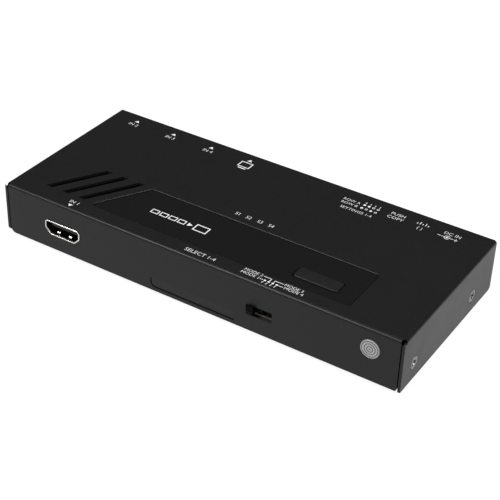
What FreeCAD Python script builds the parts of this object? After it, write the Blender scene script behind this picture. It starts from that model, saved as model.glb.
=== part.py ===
"""Four-input video switch box: folded steel case, main board, sockets, switches, buttons and feet.

All lengths are in millimetres. X runs along the case to the right, Y to the back, Z up. The origin is on
the surface the box stands on, below the middle of the case.
"""
import FreeCAD, Part
import math
import os

# ---- case ----
LENGTH = 160.0          # over the side skirts
DEPTH = 68.0            # front skirt to rear wall
CASE_H = 20.0           # skirt edge to top face
SHEET = 1.0             # steel sheet
FOLD_INNER_R = 0.2      # inside radius of every fold
SEAM = 0.4              # slit between the front skirt and a side skirt
RELIEF_R = 1.1          # ball of the bend relief at the two front corners
FRONT_LEFT_R = 2.0      # lower left corner of the front
FRONT_RIGHT_R = 0.8     # lower right corner of the front skirt
REAR_LOW_R = 1.5        # lower rear corner of each side skirt
FIT = 0.1               # gap between the cover's skirts and the base

# ---- feet and label ----
FOOT_T = 1.5
FOOT_R = 5.0
FOOT_EDGE_R = 0.4
FOOT_INSET = 11.0       # case side to foot centre
LABEL_T = 0.1
LABEL_L = 60.0
LABEL_W = 30.0

# ---- recessed panel on top ----
SLANT = 60.0            # degrees, lean of the panel's left side and of the vents
RECESS = 0.6
PANEL_RIM_R = 0.45
PANEL_R = 1.0
PANEL_BACK_LEFT = -34.9
PANEL_RIGHT = 56.6
PANEL_FRONT = -27.4
PANEL_BACK = -6.8
OVERLAY_T = 0.2
OVERLAY_GAP = 0.3

# ---- vents ----
VENT_COUNT = 3
VENT_PITCH = 7.15
VENT_W = 2.7            # along X
VENT_FRONT_X = -67.35    # front left corner of the first vent
VENT_FRONT = -26.4
VENT_BACK = -6.2

# ---- select button ----
BUTTON_X = 41.3
BUTTON_Y = -20.25
BUTTON_L = 16.6
BUTTON_W = 5.8
BUTTON_R = 1.0
BUTTON_GAP = 0.4
BUTTON_ASIDE = 0.15     # how far the cap sits to the right of the middle of its hole
BUTTON_PROUD = 0.4      # above the overlay, before the crown
BUTTON_CROWN = 0.1
BUTTON_LIP = 1.0        # lip under the panel that keeps the cap in
BUTTON_LIP_T = 1.0
BUTTON_STEM_R = 2.75
BUTTON_TRAVEL = 0.5
TACT_L = 6.0
TACT_H = 4.3
TACT_PLUNGER_R = 1.75
TACT_TOP = 9.5          # plunger top over the board
RUN = 0.15              # radial gap round a moving plunger

# ---- front slot, a lance pressed in from the front skirt ----
LANCE_LEFT = -16.3
LANCE_RIGHT = 17.8
LANCE_LOW = 1.45        # above the skirt edge
LANCE_H = 3.6
LANCE_R = 2.0
LANCE_SLIT = 0.45
LANCE_DEPTH = 0.2

# ---- round window ----
LENS_X = 68.3
LENS_Z = 12.4           # above the skirt edge
LENS_R = 3.4
LENS_FIT = 0.1
LENS_PROUD = 0.35
LENS_FLANGE = 0.8
LENS_FLANGE_T = 0.6
LENS_BARREL_R = 2.6
LENS_BARREL_L = 1.6
LENS_RINGS = 6
LENS_RING_DEPTH = 0.16

# ---- side screws ----
SCREW_R = 1.45
SCREW_HOLE_R = 1.5
SCREW_HEAD_R = 2.7
SCREW_HEAD_T = 0.95
SCREW_L = 4.0
SCREW_Y = (-25.4, 17.7)
SCREW_Z = 6.6           # above the skirt edge
CROSS_L = 2.9
CROSS_W = 0.6
CROSS_D = 0.7
COLLAR_R = 2.6
COLLAR_T = 1.2

# ---- base ----
FLANGE_H = 12.0         # side flanges, above the skirt edge
FRONT_FLANGE_H = 4.0
FRONT_FLANGE_GAP = 0.7  # front skirt to front flange
FRONT_FLANGE_HALF = 66.0

# ---- board ----
BOARD_T = 1.6
BOARD_HALF = 75.8
BOARD_EDGE = 1.6        # board edge to the outside of the front skirt and rear wall
STANDOFF_R = 2.5
BOARD_SCREW_HEAD_R = 2.8
BOARD_SCREW_HEAD_T = 1.9
BOARD_SCREW_EDGE_R = 0.6
BOARD_SCREW_L = 3.0     # below the board
BOARD_SCREW_X = 71.0
BOARD_SCREW_FRONT = -17.0
BOARD_SCREW_REAR = 12.0

# ---- video sockets ----
PORT_Z = 8.9            # above the skirt edge
PORT_HALF = 7.0
PORT_H = 4.45
PORT_LOW_HALF = 5.1
PORT_SLOPE = 1.95
PORT_R = 0.6
PORT_WALL = 0.35
PORT_LIP = 0.65
PORT_LIP_T = 0.4
PORT_DEPTH = 11.6
PORT_PROUD = 0.3
PORT_CLEAR = 0.12
TONGUE_HALF = 5.6
TONGUE_T = 1.2
TONGUE_RISE = 0.75
TONGUE_SET = 1.4
TONGUE_BACK = 2.0
CONTACT_PITCH = 1.0
CONTACT_W = 0.4
CONTACT_T = 0.1
CONTACTS_BELOW = 10
CONTACTS_ABOVE = 9
SPRING_X = 2.6
SPRING_W = 1.5
SPRING_R = 1.0
SPRING_RISE = 0.45
SPRING_SET = 1.9
FRONT_PORT_X = -54.4
REAR_PORT_X = -68.5
REAR_PORT_GAP = 1.9     # from one lip to the next

# ---- slide switches ----
SWITCH_SLOT_R = 0.5
SWITCH_SLOT_SPACE = 0.7 # knob at its last step to the end of the slot
SWITCH_STEPS = 3
SWITCH_PITCH = 2.0
SWITCH_END = 0.6        # slider at its last step to the end of the frame
SWITCH_DEEP = 4.6
SWITCH_WALL = 0.3
SWITCH_SET = 1.2        # outside of the case to the switch frame
STEM_SPACE = 0.4        # stem at its last step to the end of the frame's window
STEM_GAP = 0.2
KNOB_W = 2.7
KNOB_H = 3.1
KNOB_RISE = 0.3
KNOB_PROUD = 1.5
KNOB_R = 0.6
KNOB_GAP = 0.15
KNOB_RIBS = 3
KNOB_RIB_W = 0.35
KNOB_RIB_D = 0.25
KNOB_RIB_H = 1.7        # ribs, down from the top of the knob
STEM_W = 2.2
STEM_H = 2.0
SLIDER_L = 7.2          # long enough to cover the window beside the stem
SLIDER_H = 3.2
SLIDER_T = 1.0
MODE_SWITCH_X = 27.35
SETTINGS_SWITCH_X = 34.8
TERMINAL_T = 0.3
TERMINAL_L = 1.0
SWITCH_Z = 8.45         # above the skirt edge

# ---- copy button ----
COPY_GAP = 0.2          # settings switch to the copy switch body
COPY_RISE = 3.4         # above the board
COPY_R = 1.75
COPY_TIP_R = 0.35
COPY_PROUD = 1.5
COPY_TRAVEL = 0.4
COPY_BODY_L = 5.4
COPY_BODY_H = 6.8
COPY_BODY_T = 4.0
COPY_BODY_GAP = 0.6     # rear wall to the switch body

# ---- serial jack ----
SERIAL_X = 54.7
SERIAL_RISE = 3.0
SERIAL_BORE_R = 1.8
SERIAL_RING_R = 2.9
SERIAL_RING_L = 2.4
SERIAL_BODY_L = 14.5
SERIAL_BODY_W = 6.6
SERIAL_BODY_H = 6.0
SERIAL_BORE_L = 14.0

# ---- supply jack ----
DC_X = 66.0
DC_RISE = 6.5
DC_BORE_R = 3.1
DC_COLLAR_R = 3.9
DC_COLLAR_EDGE_R = 0.3
DC_PIN_R = 1.05
DC_TIP_R = 0.5
DC_SPRING_T = 0.3
DC_PIN_L = 9.0
DC_BORE_L = 9.5
DC_BODY_L = 13.0
DC_BODY_W = 9.0
DC_BODY_H = 11.0
DC_FLANGE_T = 1.4
JACK_PROUD = 0.2
JACK_CLEAR = 0.2

# ---- indicators ----
LED_X0 = -1.4
LED_PITCH = 4.55
LED_COUNT = 4
LED_Y = -9.6
LED_L = 2.0
LED_W = 1.25
LED_T = 0.8
WINDOW_R = 1.1
PILLAR_R = 0.9
GUIDE_BAR_RISE = 4.0
GUIDE_BAR_T = 1.4
GUIDE_BAR_W = 3.0
GUIDE_END = 3.6

# ---- parts on the board ----
CHIP_X = -12.0
CHIP_Y = 6.0
CHIP_L = 14.0
CHIP_T = 1.2
SINK_L = 20.0
SINK_BASE_T = 1.5
SINK_FIN_T = 0.8
SINK_FIN_H = 4.5
SINK_FINS = 7
CONTROL_X = 20.0
CONTROL_Y = 2.0
CONTROL_L = 7.0
CONTROL_T = 1.0
CAP_R = 3.15
CAP_H = 7.7
CAP_TOP_R = 0.5
CAP_PLACES = ((58.0, 10.0), (58.0, 2.0), (50.0, 6.0), (44.0, -4.0))
COIL_X = 66.0
COIL_Y = 4.0
COIL_L = 7.0
COIL_H = 4.0
CRYSTAL_X = 4.0
CRYSTAL_Y = 12.0
CRYSTAL_L = 10.5
CRYSTAL_W = 4.6
CRYSTAL_H = 3.4
CRYSTAL_R = 2.1
RECEIVER_L = 6.0
RECEIVER_T = 4.4
RECEIVER_GAP = 0.3
RECEIVER_H = 7.0
LEAD_W = 0.5
LEAD_PITCH = 2.0

# ---- levels worked out from the sizes above ----
EDGE_Z = FOOT_T
TOP_Z = EDGE_Z + CASE_H
FLOOR_Z = EDGE_Z + SHEET
FOLD_R = FOLD_INNER_R + SHEET
UNDER_Z = TOP_Z - SHEET
HALF_L = LENGTH / 2
FRONT_Y = -DEPTH / 2
REAR_Y = DEPTH / 2
PORT_MID_Z = EDGE_Z + PORT_Z
BOARD_TOP = PORT_MID_Z - PORT_H / 2 - PORT_WALL
BOARD_LOW = BOARD_TOP - BOARD_T
BOARD_FRONT = FRONT_Y + BOARD_EDGE
BOARD_REAR = REAR_Y - BOARD_EDGE
PANEL_FLOOR = TOP_Z - RECESS
PANEL_UNDER = PANEL_FLOOR - SHEET
OVERLAY_TOP = PANEL_FLOOR + OVERLAY_T
SWITCH_MID_Z = EDGE_Z + SWITCH_Z
SWITCH_H = 2 * (SWITCH_MID_Z - BOARD_TOP)
SWITCH_TRAVEL = SWITCH_STEPS * SWITCH_PITCH
SWITCH_SLOT_L = SWITCH_TRAVEL + KNOB_W + 2 * SWITCH_SLOT_SPACE
SWITCH_SLOT_H = KNOB_H + 2 * KNOB_RISE + 2 * KNOB_GAP
SWITCH_WINDOW_L = SWITCH_TRAVEL + STEM_W + 2 * STEM_SPACE
SWITCH_WINDOW_H = STEM_H + 2 * STEM_GAP
SWITCH_L = SWITCH_TRAVEL + SLIDER_L + 2 * SWITCH_END
REAR_PORT_PITCH = 2 * (PORT_HALF + PORT_LIP) + REAR_PORT_GAP
COPY_X = SETTINGS_SWITCH_X + SWITCH_L / 2 + COPY_GAP + COPY_BODY_L / 2
COPY_Z = BOARD_TOP + COPY_RISE
SERIAL_Z = BOARD_TOP + SERIAL_RISE
DC_Z = BOARD_TOP + DC_RISE
LENS_MID_Z = EDGE_Z + LENS_Z
SCREW_MID_Z = EDGE_Z + SCREW_Z

X_AXIS = FreeCAD.Vector(1, 0, 0)
Y_AXIS = FreeCAD.Vector(0, 1, 0)
Z_AXIS = FreeCAD.Vector(0, 0, 1)
HALF_TURN = 180


def point(x, y, z):
    return FreeCAD.Vector(x, y, z)


def block(x0, x1, y0, y1, z0, z1):
    return Part.makeBox(x1 - x0, y1 - y0, z1 - z0, point(x0, y0, z0))


def rod(start, axis, radius, length):
    return Part.makeCylinder(radius, length, start, axis)


def prism(points, direction):
    """The polygon through points, carried along direction."""
    wire = Part.makePolygon(points + points[:1])
    return Part.Face(wire).extrude(direction)


def round_edges(shape, radius, keep):
    """Fillets the straight edges whose middle point passes the test keep."""
    edges = [edge for edge in shape.Edges if keep(edge)]
    return shape.makeFillet(radius, edges)


def runs_along(edge, axis):
    if len(edge.Vertexes) != 2:
        return False
    way = edge.Vertexes[1].Point - edge.Vertexes[0].Point
    return way.Length > 0 and way.cross(axis).Length < 1e-6 * way.Length


def round_block(x0, x1, y0, y1, z0, z1, radius, axis):
    """A block whose four edges along axis are round."""
    solid = block(x0, x1, y0, y1, z0, z1)
    return round_edges(solid, radius, lambda edge: runs_along(edge, axis))


def outer_corner(x, z, radius, side, y0, y1):
    """What rounds off the lower corner at (x, z) of a wall between y0 and y1; side is -1 left, 1 right."""
    x1 = x - side * radius
    corner = block(min(x, x1), max(x, x1), y0, y1, z, z + radius)
    return corner.cut(rod(point(x1, y0, z + radius), Y_AXIS, radius, y1 - y0))


def skirt_corner(y, radius, side, x0, x1):
    """What rounds off the lower corner at y of a side skirt between x0 and x1; side is -1 front, 1 rear."""
    y1 = y - side * radius
    corner = block(x0, x1, min(y, y1), max(y, y1), EDGE_Z, EDGE_Z + radius)
    return corner.cut(rod(point(x0, y1, EDGE_Z + radius), X_AXIS, radius, x1 - x0))


def turned(shape):
    """A copy turned half a turn about the vertical line through the origin."""
    copy = shape.copy()
    copy.rotate(point(0, 0, 0), Z_AXIS, HALF_TURN)
    return copy


def moved(shape, x, y, z):
    copy = shape.copy()
    copy.translate(point(x, y, z))
    return copy


def save(node, *solids):
    shape = solids[0] if len(solids) == 1 else Part.makeCompound(list(solids))
    shape.exportStep("parts/" + node + ".step")


# ---- outlines ----

def slanted_outline(back_left, right, front, back, grow, radius, z0, z1):
    """A four-sided prism with a slanted left side; grow moves every side outwards."""
    lean = math.radians(SLANT)
    left_back = back_left - grow / math.sin(lean) + grow / math.tan(lean)
    left_front = left_back - (back - front + 2 * grow) / math.tan(lean)
    corners = [
        point(left_front, front - grow, z0),
        point(right + grow, front - grow, z0),
        point(right + grow, back + grow, z0),
        point(left_back, back + grow, z0),
    ]
    solid = prism(corners, point(0, 0, z1 - z0))
    return round_edges(solid, radius, lambda edge: runs_along(edge, Z_AXIS))


def panel_outline(grow, z0, z1):
    radius = PANEL_R + grow
    return slanted_outline(PANEL_BACK_LEFT, PANEL_RIGHT, PANEL_FRONT, PANEL_BACK, grow, radius, z0, z1)


def port_outline(grow, y0, y1):
    """The socket's D outline round (0, 0), wide side up, with every side moved outwards by grow."""
    top = PORT_H / 2
    slope_top = PORT_SLOPE - top
    corners = [
        point(-PORT_HALF, y0, top),
        point(PORT_HALF, y0, top),
        point(PORT_HALF, y0, slope_top),
        point(PORT_LOW_HALF, y0, -top),
        point(-PORT_LOW_HALF, y0, -top),
        point(-PORT_HALF, y0, slope_top),
    ]
    solid = prism(corners, point(0, y1 - y0, 0))
    solid = round_edges(solid, PORT_R, lambda edge: runs_along(edge, Y_AXIS))
    if grow == 0:
        return solid
    front = min(solid.Faces, key=lambda face: face.CenterOfMass.y)
    wider = Part.Wire(front.Wires[0].Edges).makeOffset2D(grow)
    return Part.Face(wider).extrude(point(0, y1 - y0, 0))


# ---- cover ----

def folded(x0, x1, y0, y1, z0, z1, radius):
    """A block with round folds along its top front and top side edges."""
    def is_fold(edge):
        middle = edge.CenterOfMass
        at_top = abs(middle.z - z1) < 1e-6
        return at_top and abs(middle.y - y1) > 1e-6

    return round_edges(block(x0, x1, y0, y1, z0, z1), radius, is_fold)


def vents():
    """Slanted slots through the top, to the left of the panel."""
    lean = (VENT_BACK - VENT_FRONT) / math.tan(math.radians(SLANT))
    low = UNDER_Z - SHEET
    for i in range(VENT_COUNT):
        x = VENT_FRONT_X + i * VENT_PITCH
        corners = [
            point(x, VENT_FRONT, low),
            point(x + VENT_W, VENT_FRONT, low),
            point(x + VENT_W + lean, VENT_BACK, low),
            point(x + lean, VENT_BACK, low),
        ]
        yield prism(corners, point(0, 0, 3 * SHEET))


def lance_outline(shrink, y0, y1):
    """The lance's front outline with a round corner; shrink moves its left end and bottom inwards."""
    low = EDGE_Z + LANCE_LOW + shrink
    high = EDGE_Z + LANCE_LOW + LANCE_H
    left = LANCE_LEFT + shrink
    shape = block(left, LANCE_RIGHT, y0, y1, low, high)
    return shape.cut(outer_corner(left, low, LANCE_R - shrink, -1, y0, y1))


def lance_slit():
    """The cut along the lance's bottom and round its left end. Its right end isn't cut."""
    y0 = FRONT_Y - SHEET
    y1 = FRONT_Y + 2 * SHEET
    return lance_outline(0, y0, y1).cut(lance_outline(LANCE_SLIT, y0, y1))


def lance_wedge(face_y):
    """The sheet pressed inwards from face_y: nothing at the top, deepest at the slit."""
    low = EDGE_Z + LANCE_LOW
    high = low + LANCE_H
    left = LANCE_LEFT
    corners = [point(left, face_y, high), point(left, face_y, low), point(left, face_y + LANCE_DEPTH, low)]
    wedge = prism(corners, point(LANCE_RIGHT - LANCE_LEFT, 0, 0))
    return wedge.common(lance_outline(0, FRONT_Y - SHEET, FRONT_Y + 3 * SHEET))


def countersunk_hole(side, y):
    """A clearance cone and hole through a side skirt for one screw."""
    outside = point(side * HALF_L, y, SCREW_MID_Z)
    inwards = X_AXIS * -side
    cone = Part.makeCone(SCREW_HEAD_R, SCREW_HOLE_R, SHEET, outside, inwards)
    return cone.fuse(rod(outside, inwards, SCREW_HOLE_R, 2 * SHEET))


def button_hole():
    half_l = BUTTON_L / 2 + BUTTON_GAP
    half_w = BUTTON_W / 2 + BUTTON_GAP
    x = BUTTON_X - BUTTON_ASIDE
    sides = (x - half_l, x + half_l, BUTTON_Y - half_w, BUTTON_Y + half_w)
    return round_block(*sides, PANEL_UNDER - SHEET, TOP_Z + SHEET, BUTTON_R + BUTTON_GAP, Z_AXIS)


def led_windows():
    for i in range(LED_COUNT):
        yield rod(point(LED_X0 + i * LED_PITCH, LED_Y, PANEL_UNDER - SHEET), Z_AXIS, WINDOW_R, 3 * SHEET)


def switch_slot(x, y0):
    half_l = SWITCH_SLOT_L / 2
    half_h = SWITCH_SLOT_H / 2
    levels = (SWITCH_MID_Z - half_h, SWITCH_MID_Z + half_h)
    return round_block(x - half_l, x + half_l, y0, y0 + 3 * SHEET, *levels, SWITCH_SLOT_R, Y_AXIS)


def port_hole(x, y0):
    return moved(port_outline(PORT_LIP + PORT_CLEAR, 0, 3 * SHEET), x, y0, PORT_MID_Z)


def corner_reliefs():
    """The slits beside the front skirt, each ending in a round bend relief at the corner."""
    inner_y = FRONT_Y + SHEET
    for side in (-1, 1):
        inner_x = side * (HALF_L - SHEET)
        slit_x = sorted((inner_x, inner_x - side * SEAM))
        yield block(*slit_x, FRONT_Y - SHEET, inner_y, EDGE_Z - SHEET, UNDER_Z)
        yield Part.makeSphere(RELIEF_R, point(inner_x, inner_y, UNDER_Z))


def lower_corners():
    """What rounds the cover's lower corners."""
    wide = (FRONT_Y - SHEET, FRONT_Y + SHEET)
    skirt_end = HALF_L - SHEET - SEAM
    yield outer_corner(-skirt_end, EDGE_Z, FRONT_LEFT_R, -1, *wide)
    yield outer_corner(skirt_end, EDGE_Z, FRONT_RIGHT_R, 1, *wide)
    yield skirt_corner(FRONT_Y, FRONT_LEFT_R, -1, -HALF_L, SHEET - HALF_L)
    yield skirt_corner(REAR_Y, REAR_LOW_R, 1, -HALF_L, SHEET - HALF_L)
    yield skirt_corner(REAR_Y, REAR_LOW_R, 1, HALF_L - SHEET, HALF_L)


def round_panel_rim(cover):
    """Rounds the pressed edge all round the recess."""
    limits = panel_outline(SHEET, TOP_Z - SHEET, TOP_Z + SHEET).BoundBox

    def on_rim(edge):
        middle = edge.CenterOfMass
        box = edge.BoundBox
        flat = abs(box.ZMin - TOP_Z) < 1e-6 and abs(box.ZMax - TOP_Z) < 1e-6
        inside_x = limits.XMin < middle.x < limits.XMax
        inside_y = limits.YMin < middle.y < limits.YMax
        return flat and inside_x and inside_y

    return round_edges(cover, PANEL_RIM_R, on_rim)


def make_cover():
    outer = folded(-HALF_L, HALF_L, FRONT_Y, REAR_Y, EDGE_Z, TOP_Z, FOLD_R)
    inner_sides = (SHEET - HALF_L, HALF_L - SHEET, FRONT_Y + SHEET, REAR_Y + SHEET)
    inner = folded(*inner_sides, EDGE_Z - SHEET, UNDER_Z, FOLD_INNER_R)
    cover = outer.cut(inner)
    cover = cover.fuse(panel_outline(SHEET / 2, PANEL_UNDER, UNDER_Z + SHEET / 4))
    cover = cover.cut(panel_outline(0, PANEL_FLOOR, TOP_Z + SHEET))
    cover = round_panel_rim(cover)
    cover = cover.fuse(lance_wedge(FRONT_Y + SHEET))
    cuts = [lance_wedge(FRONT_Y), lance_slit(), button_hole()]
    cuts += vents()
    cuts += led_windows()
    cuts += corner_reliefs()
    cuts += lower_corners()
    cuts += [countersunk_hole(side, y) for side in (-1, 1) for y in SCREW_Y]
    cuts.append(port_hole(FRONT_PORT_X, FRONT_Y - SHEET))
    cuts.append(switch_slot(MODE_SWITCH_X, FRONT_Y - SHEET))
    cuts.append(rod(point(LENS_X, FRONT_Y - SHEET, LENS_MID_Z), Y_AXIS, LENS_R + LENS_FIT, 3 * SHEET))
    return cover.cut(cuts)


def make_overlay():
    """The printed plastic overlay that lies in the recess round the button."""
    return panel_outline(-OVERLAY_GAP, PANEL_FLOOR, OVERLAY_TOP).cut(button_hole())


# ---- base ----

def rear_ports():
    return [REAR_PORT_X + i * REAR_PORT_PITCH for i in range(4)]


def collar(side, y):
    """The drawn collar that holds a side screw's thread."""
    flange_in = HALF_L - 2 * SHEET - FIT
    start = point(side * flange_in, y, SCREW_MID_Z)
    return rod(start, X_AXIS * -side, COLLAR_R, COLLAR_T)


def make_base():
    half = HALF_L - SHEET - FIT
    front = FRONT_Y + SHEET + FRONT_FLANGE_GAP
    tray = block(-half, half, front, REAR_Y, EDGE_Z, UNDER_Z - FIT)
    tray = round_edges(tray, FOLD_R, lambda edge: edge.CenterOfMass.isEqual(point(0, REAR_Y, EDGE_Z), 1e-3))
    hollow = block(SHEET - half, half - SHEET, front + SHEET, REAR_Y - SHEET, FLOOR_Z, TOP_Z)
    low_sides = block(-LENGTH, LENGTH, front - SHEET, REAR_Y - SHEET, EDGE_Z + FLANGE_H, TOP_Z)
    low_front = block(-LENGTH, LENGTH, front - SHEET, front + SHEET, EDGE_Z + FRONT_FLANGE_H, TOP_Z)
    base = tray.cut([hollow, low_sides, low_front])
    for side in (-1, 1):
        ends = sorted((side * FRONT_FLANGE_HALF, side * LENGTH))
        base = base.cut(block(*ends, front - SHEET, front + SHEET, FLOOR_Z, TOP_Z))
    base = base.fuse([collar(side, y) for side in (-1, 1) for y in SCREW_Y])
    behind = REAR_Y - 2 * SHEET
    cuts = [port_hole(x, behind) for x in rear_ports()]
    cuts.append(switch_slot(SETTINGS_SWITCH_X, behind))
    cuts.append(rod(point(COPY_X, behind, COPY_Z), Y_AXIS, COPY_R + RUN, 3 * SHEET))
    cuts.append(rod(point(SERIAL_X, behind, SERIAL_Z), Y_AXIS, SERIAL_RING_R + JACK_CLEAR, 3 * SHEET))
    cuts.append(rod(point(DC_X, behind, DC_Z), Y_AXIS, DC_COLLAR_R + JACK_CLEAR, 3 * SHEET))
    for side in (-1, 1):
        for y in SCREW_Y:
            start = point(side * HALF_L, y, SCREW_MID_Z)
            cuts.append(rod(start, X_AXIS * -side, SCREW_HOLE_R, 2 * SCREW_L))
    return base.cut(cuts)


def make_foot(x, y):
    foot = rod(point(x, y, 0), Z_AXIS, FOOT_R, FOOT_T)
    return round_edges(foot, FOOT_EDGE_R, lambda edge: edge.CenterOfMass.z < FOOT_EDGE_R)


# ---- screws and standoffs ----

def cross_recess(centre, inwards, across):
    """A cross-shaped driver recess, CROSS_D deep, cut from centre."""
    other = inwards.cross(across)
    arms = []
    for along, beside in ((across, other), (other, across)):
        start = centre - along * (CROSS_L / 2) - beside * (CROSS_W / 2)
        corners = [
            start,
            start + along * CROSS_L,
            start + along * CROSS_L + beside * CROSS_W,
            start + beside * CROSS_W,
        ]
        arms.append(prism(corners, inwards * CROSS_D))
    return arms[0].fuse(arms[1])


def side_screw(side, y):
    outside = point(side * HALF_L, y, SCREW_MID_Z)
    inwards = X_AXIS * -side
    head = Part.makeCone(SCREW_HEAD_R - FIT / 2, SCREW_R, SCREW_HEAD_T, outside, inwards)
    screw = head.fuse(rod(outside, inwards, SCREW_R, SCREW_L))
    return screw.cut(cross_recess(outside, inwards, Y_AXIS))


def board_places():
    return [(side * BOARD_SCREW_X, y) for side in (-1, 1) for y in (BOARD_SCREW_FRONT, BOARD_SCREW_REAR)]


def board_screw(x, y):
    head_top = BOARD_TOP + BOARD_SCREW_HEAD_T
    head = rod(point(x, y, BOARD_TOP), Z_AXIS, BOARD_SCREW_HEAD_R, BOARD_SCREW_HEAD_T)
    top_edge = [edge for edge in head.Edges if abs(edge.CenterOfMass.z - head_top) < 1e-6]
    head = head.makeFillet(BOARD_SCREW_EDGE_R, top_edge)
    low = BOARD_LOW - BOARD_SCREW_L
    screw = head.fuse(rod(point(x, y, low), Z_AXIS, SCREW_R, BOARD_TOP - low))
    return screw.cut(cross_recess(point(x, y, head_top), -Z_AXIS, X_AXIS))


def standoff(x, y):
    post = rod(point(x, y, FLOOR_Z), Z_AXIS, STANDOFF_R, BOARD_LOW - FLOOR_Z)
    return post.cut(rod(point(x, y, FLOOR_Z), Z_AXIS, SCREW_HOLE_R, BOARD_LOW - FLOOR_Z))


def make_board():
    board = block(-BOARD_HALF, BOARD_HALF, BOARD_FRONT, BOARD_REAR, BOARD_LOW, BOARD_TOP)
    low = BOARD_LOW - SHEET
    through = BOARD_T + 2 * SHEET
    return board.cut([rod(point(x, y, low), Z_AXIS, SCREW_HOLE_R, through) for x, y in board_places()])


# ---- video sockets, made with the mouth at y = 0 facing -Y ----

def port_shell():
    body = port_outline(PORT_WALL, 0, PORT_DEPTH)
    lip = port_outline(PORT_LIP, 0, PORT_LIP_T)
    shell = body.fuse(lip).cut(port_outline(0, -SHEET, PORT_DEPTH - PORT_WALL))
    floor = -PORT_H / 2
    for x in (-SPRING_X, SPRING_X):
        start = point(x - SPRING_W / 2, SPRING_SET, floor - SPRING_R + SPRING_RISE)
        spring = rod(start, X_AXIS, SPRING_R, SPRING_W)
        shell = shell.fuse(spring.common(port_outline(0, 0, PORT_DEPTH)))
    return shell.removeSplitter()


def port_tongue():
    back = PORT_DEPTH - PORT_WALL
    middle = (TONGUE_RISE - TONGUE_T / 2, TONGUE_RISE + TONGUE_T / 2)
    tongue = block(-TONGUE_HALF, TONGUE_HALF, TONGUE_SET, back - TONGUE_BACK, *middle)
    return tongue.fuse(port_outline(0, 0, TONGUE_BACK).translated(point(0, back - TONGUE_BACK, 0)))


def port_contacts():
    back = PORT_DEPTH - PORT_WALL - TONGUE_BACK
    rows = (
        (CONTACTS_BELOW, TONGUE_RISE - TONGUE_T / 2 - CONTACT_T),
        (CONTACTS_ABOVE, TONGUE_RISE + TONGUE_T / 2),
    )
    for count, z in rows:
        first = -CONTACT_PITCH * (count - 1) / 2
        for i in range(count):
            x = first + i * CONTACT_PITCH
            half = CONTACT_W / 2
            yield block(x - half, x + half, TONGUE_SET + 3 * CONTACT_T, back, z, z + CONTACT_T)


def save_port(name, x, rear):
    """Saves one socket: shell, tongue and contacts, with its mouth just proud of the case."""
    pieces = {"shell": [port_shell()], "tongue": [port_tongue()], "contacts": list(port_contacts())}
    for piece, solids in pieces.items():
        y = FRONT_Y - PORT_PROUD
        if rear:
            placed = [turned(moved(solid, -x, y, PORT_MID_Z)) for solid in solids]
        else:
            placed = [moved(solid, x, y, PORT_MID_Z) for solid in solids]
        save(name + "_" + piece, *placed)


# ---- slide switches, made with the case's outside at y = 0 and the knob at -Y ----

def switch_frame():
    half = SWITCH_L / 2
    front = SWITCH_SET
    back = front + SWITCH_DEEP
    top = SWITCH_H / 2
    can = block(-half, half, front, back, -top, top)
    inner_half = half - SWITCH_WALL
    can = can.cut(block(-inner_half, inner_half, front + SWITCH_WALL, back, -top, top - SWITCH_WALL))
    window_half = SWITCH_WINDOW_L / 2
    window = block(-window_half, window_half, 0, front + SHEET, -SWITCH_WINDOW_H / 2, SWITCH_WINDOW_H / 2)
    return can.cut(window)


def slider_front():
    return SWITCH_SET + SWITCH_WALL + KNOB_GAP


def switch_base():
    """The insulating block behind the slider, with a ledge above and below it."""
    half = SWITCH_L / 2 - SWITCH_WALL
    top = SWITCH_H / 2
    front = SWITCH_SET + SWITCH_WALL
    body = block(-half, half, front, SWITCH_SET + SWITCH_DEEP, -top, top - SWITCH_WALL)
    groove_half = SLIDER_L / 2 + SWITCH_TRAVEL / 2 + KNOB_GAP
    groove_h = SLIDER_H / 2 + KNOB_GAP
    deep = slider_front() + SLIDER_T + KNOB_GAP
    return body.cut(block(-groove_half, groove_half, front - SHEET, deep, -groove_h, groove_h))


def switch_terminals():
    """One solder tail behind the switch for each position and the common."""
    back = SWITCH_SET + SWITCH_DEEP
    low = -SWITCH_H / 2
    for i in range(SWITCH_STEPS + 2):
        x = (i - (SWITCH_STEPS + 1) / 2) * SWITCH_PITCH
        yield block(x - LEAD_W / 2, x + LEAD_W / 2, back, back + TERMINAL_L, low, low + TERMINAL_T)


def switch_knob():
    """Ribbed head, stem through the frame's window, and the slider behind it, at the first position."""
    half_w = KNOB_W / 2
    low = KNOB_RISE - KNOB_H / 2
    high = KNOB_RISE + KNOB_H / 2
    head_back = SWITCH_SET - KNOB_GAP
    head = block(-half_w, half_w, -KNOB_PROUD, head_back, low, high)
    lower = [
        edge for edge in head.Edges
        if runs_along(edge, Y_AXIS) and edge.CenterOfMass.z < KNOB_RISE
    ]
    head = head.makeFillet(KNOB_R, lower)
    gap = KNOB_W / (KNOB_RIBS + 1)
    half_rib = KNOB_RIB_W / 2
    rib_levels = (high - KNOB_RIB_H, high)
    for i in range(KNOB_RIBS):
        x = (i + 1) * gap - half_w
        head = head.cut(block(x - half_rib, x + half_rib, -KNOB_PROUD, KNOB_RIB_D - KNOB_PROUD, *rib_levels))
    stem = block(-STEM_W / 2, STEM_W / 2, head_back, slider_front(), -STEM_H / 2, STEM_H / 2)
    slider = block(
        -SLIDER_L / 2, SLIDER_L / 2, slider_front(), slider_front() + SLIDER_T, -SLIDER_H / 2, SLIDER_H / 2)
    knob = head.fuse([stem, slider]).removeSplitter()
    return moved(knob, -SWITCH_TRAVEL / 2, 0, 0)


def save_switch(name, x, rear):
    pieces = {
        "frame": [switch_frame()],
        "base": [switch_base()],
        "terminals": list(switch_terminals()),
        "knob": [switch_knob()],
    }
    for piece, solids in pieces.items():
        if rear:
            placed = [turned(moved(solid, -x, FRONT_Y, SWITCH_MID_Z)) for solid in solids]
        else:
            placed = [moved(solid, x, FRONT_Y, SWITCH_MID_Z) for solid in solids]
        save(name + "_" + piece, *placed)


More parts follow.
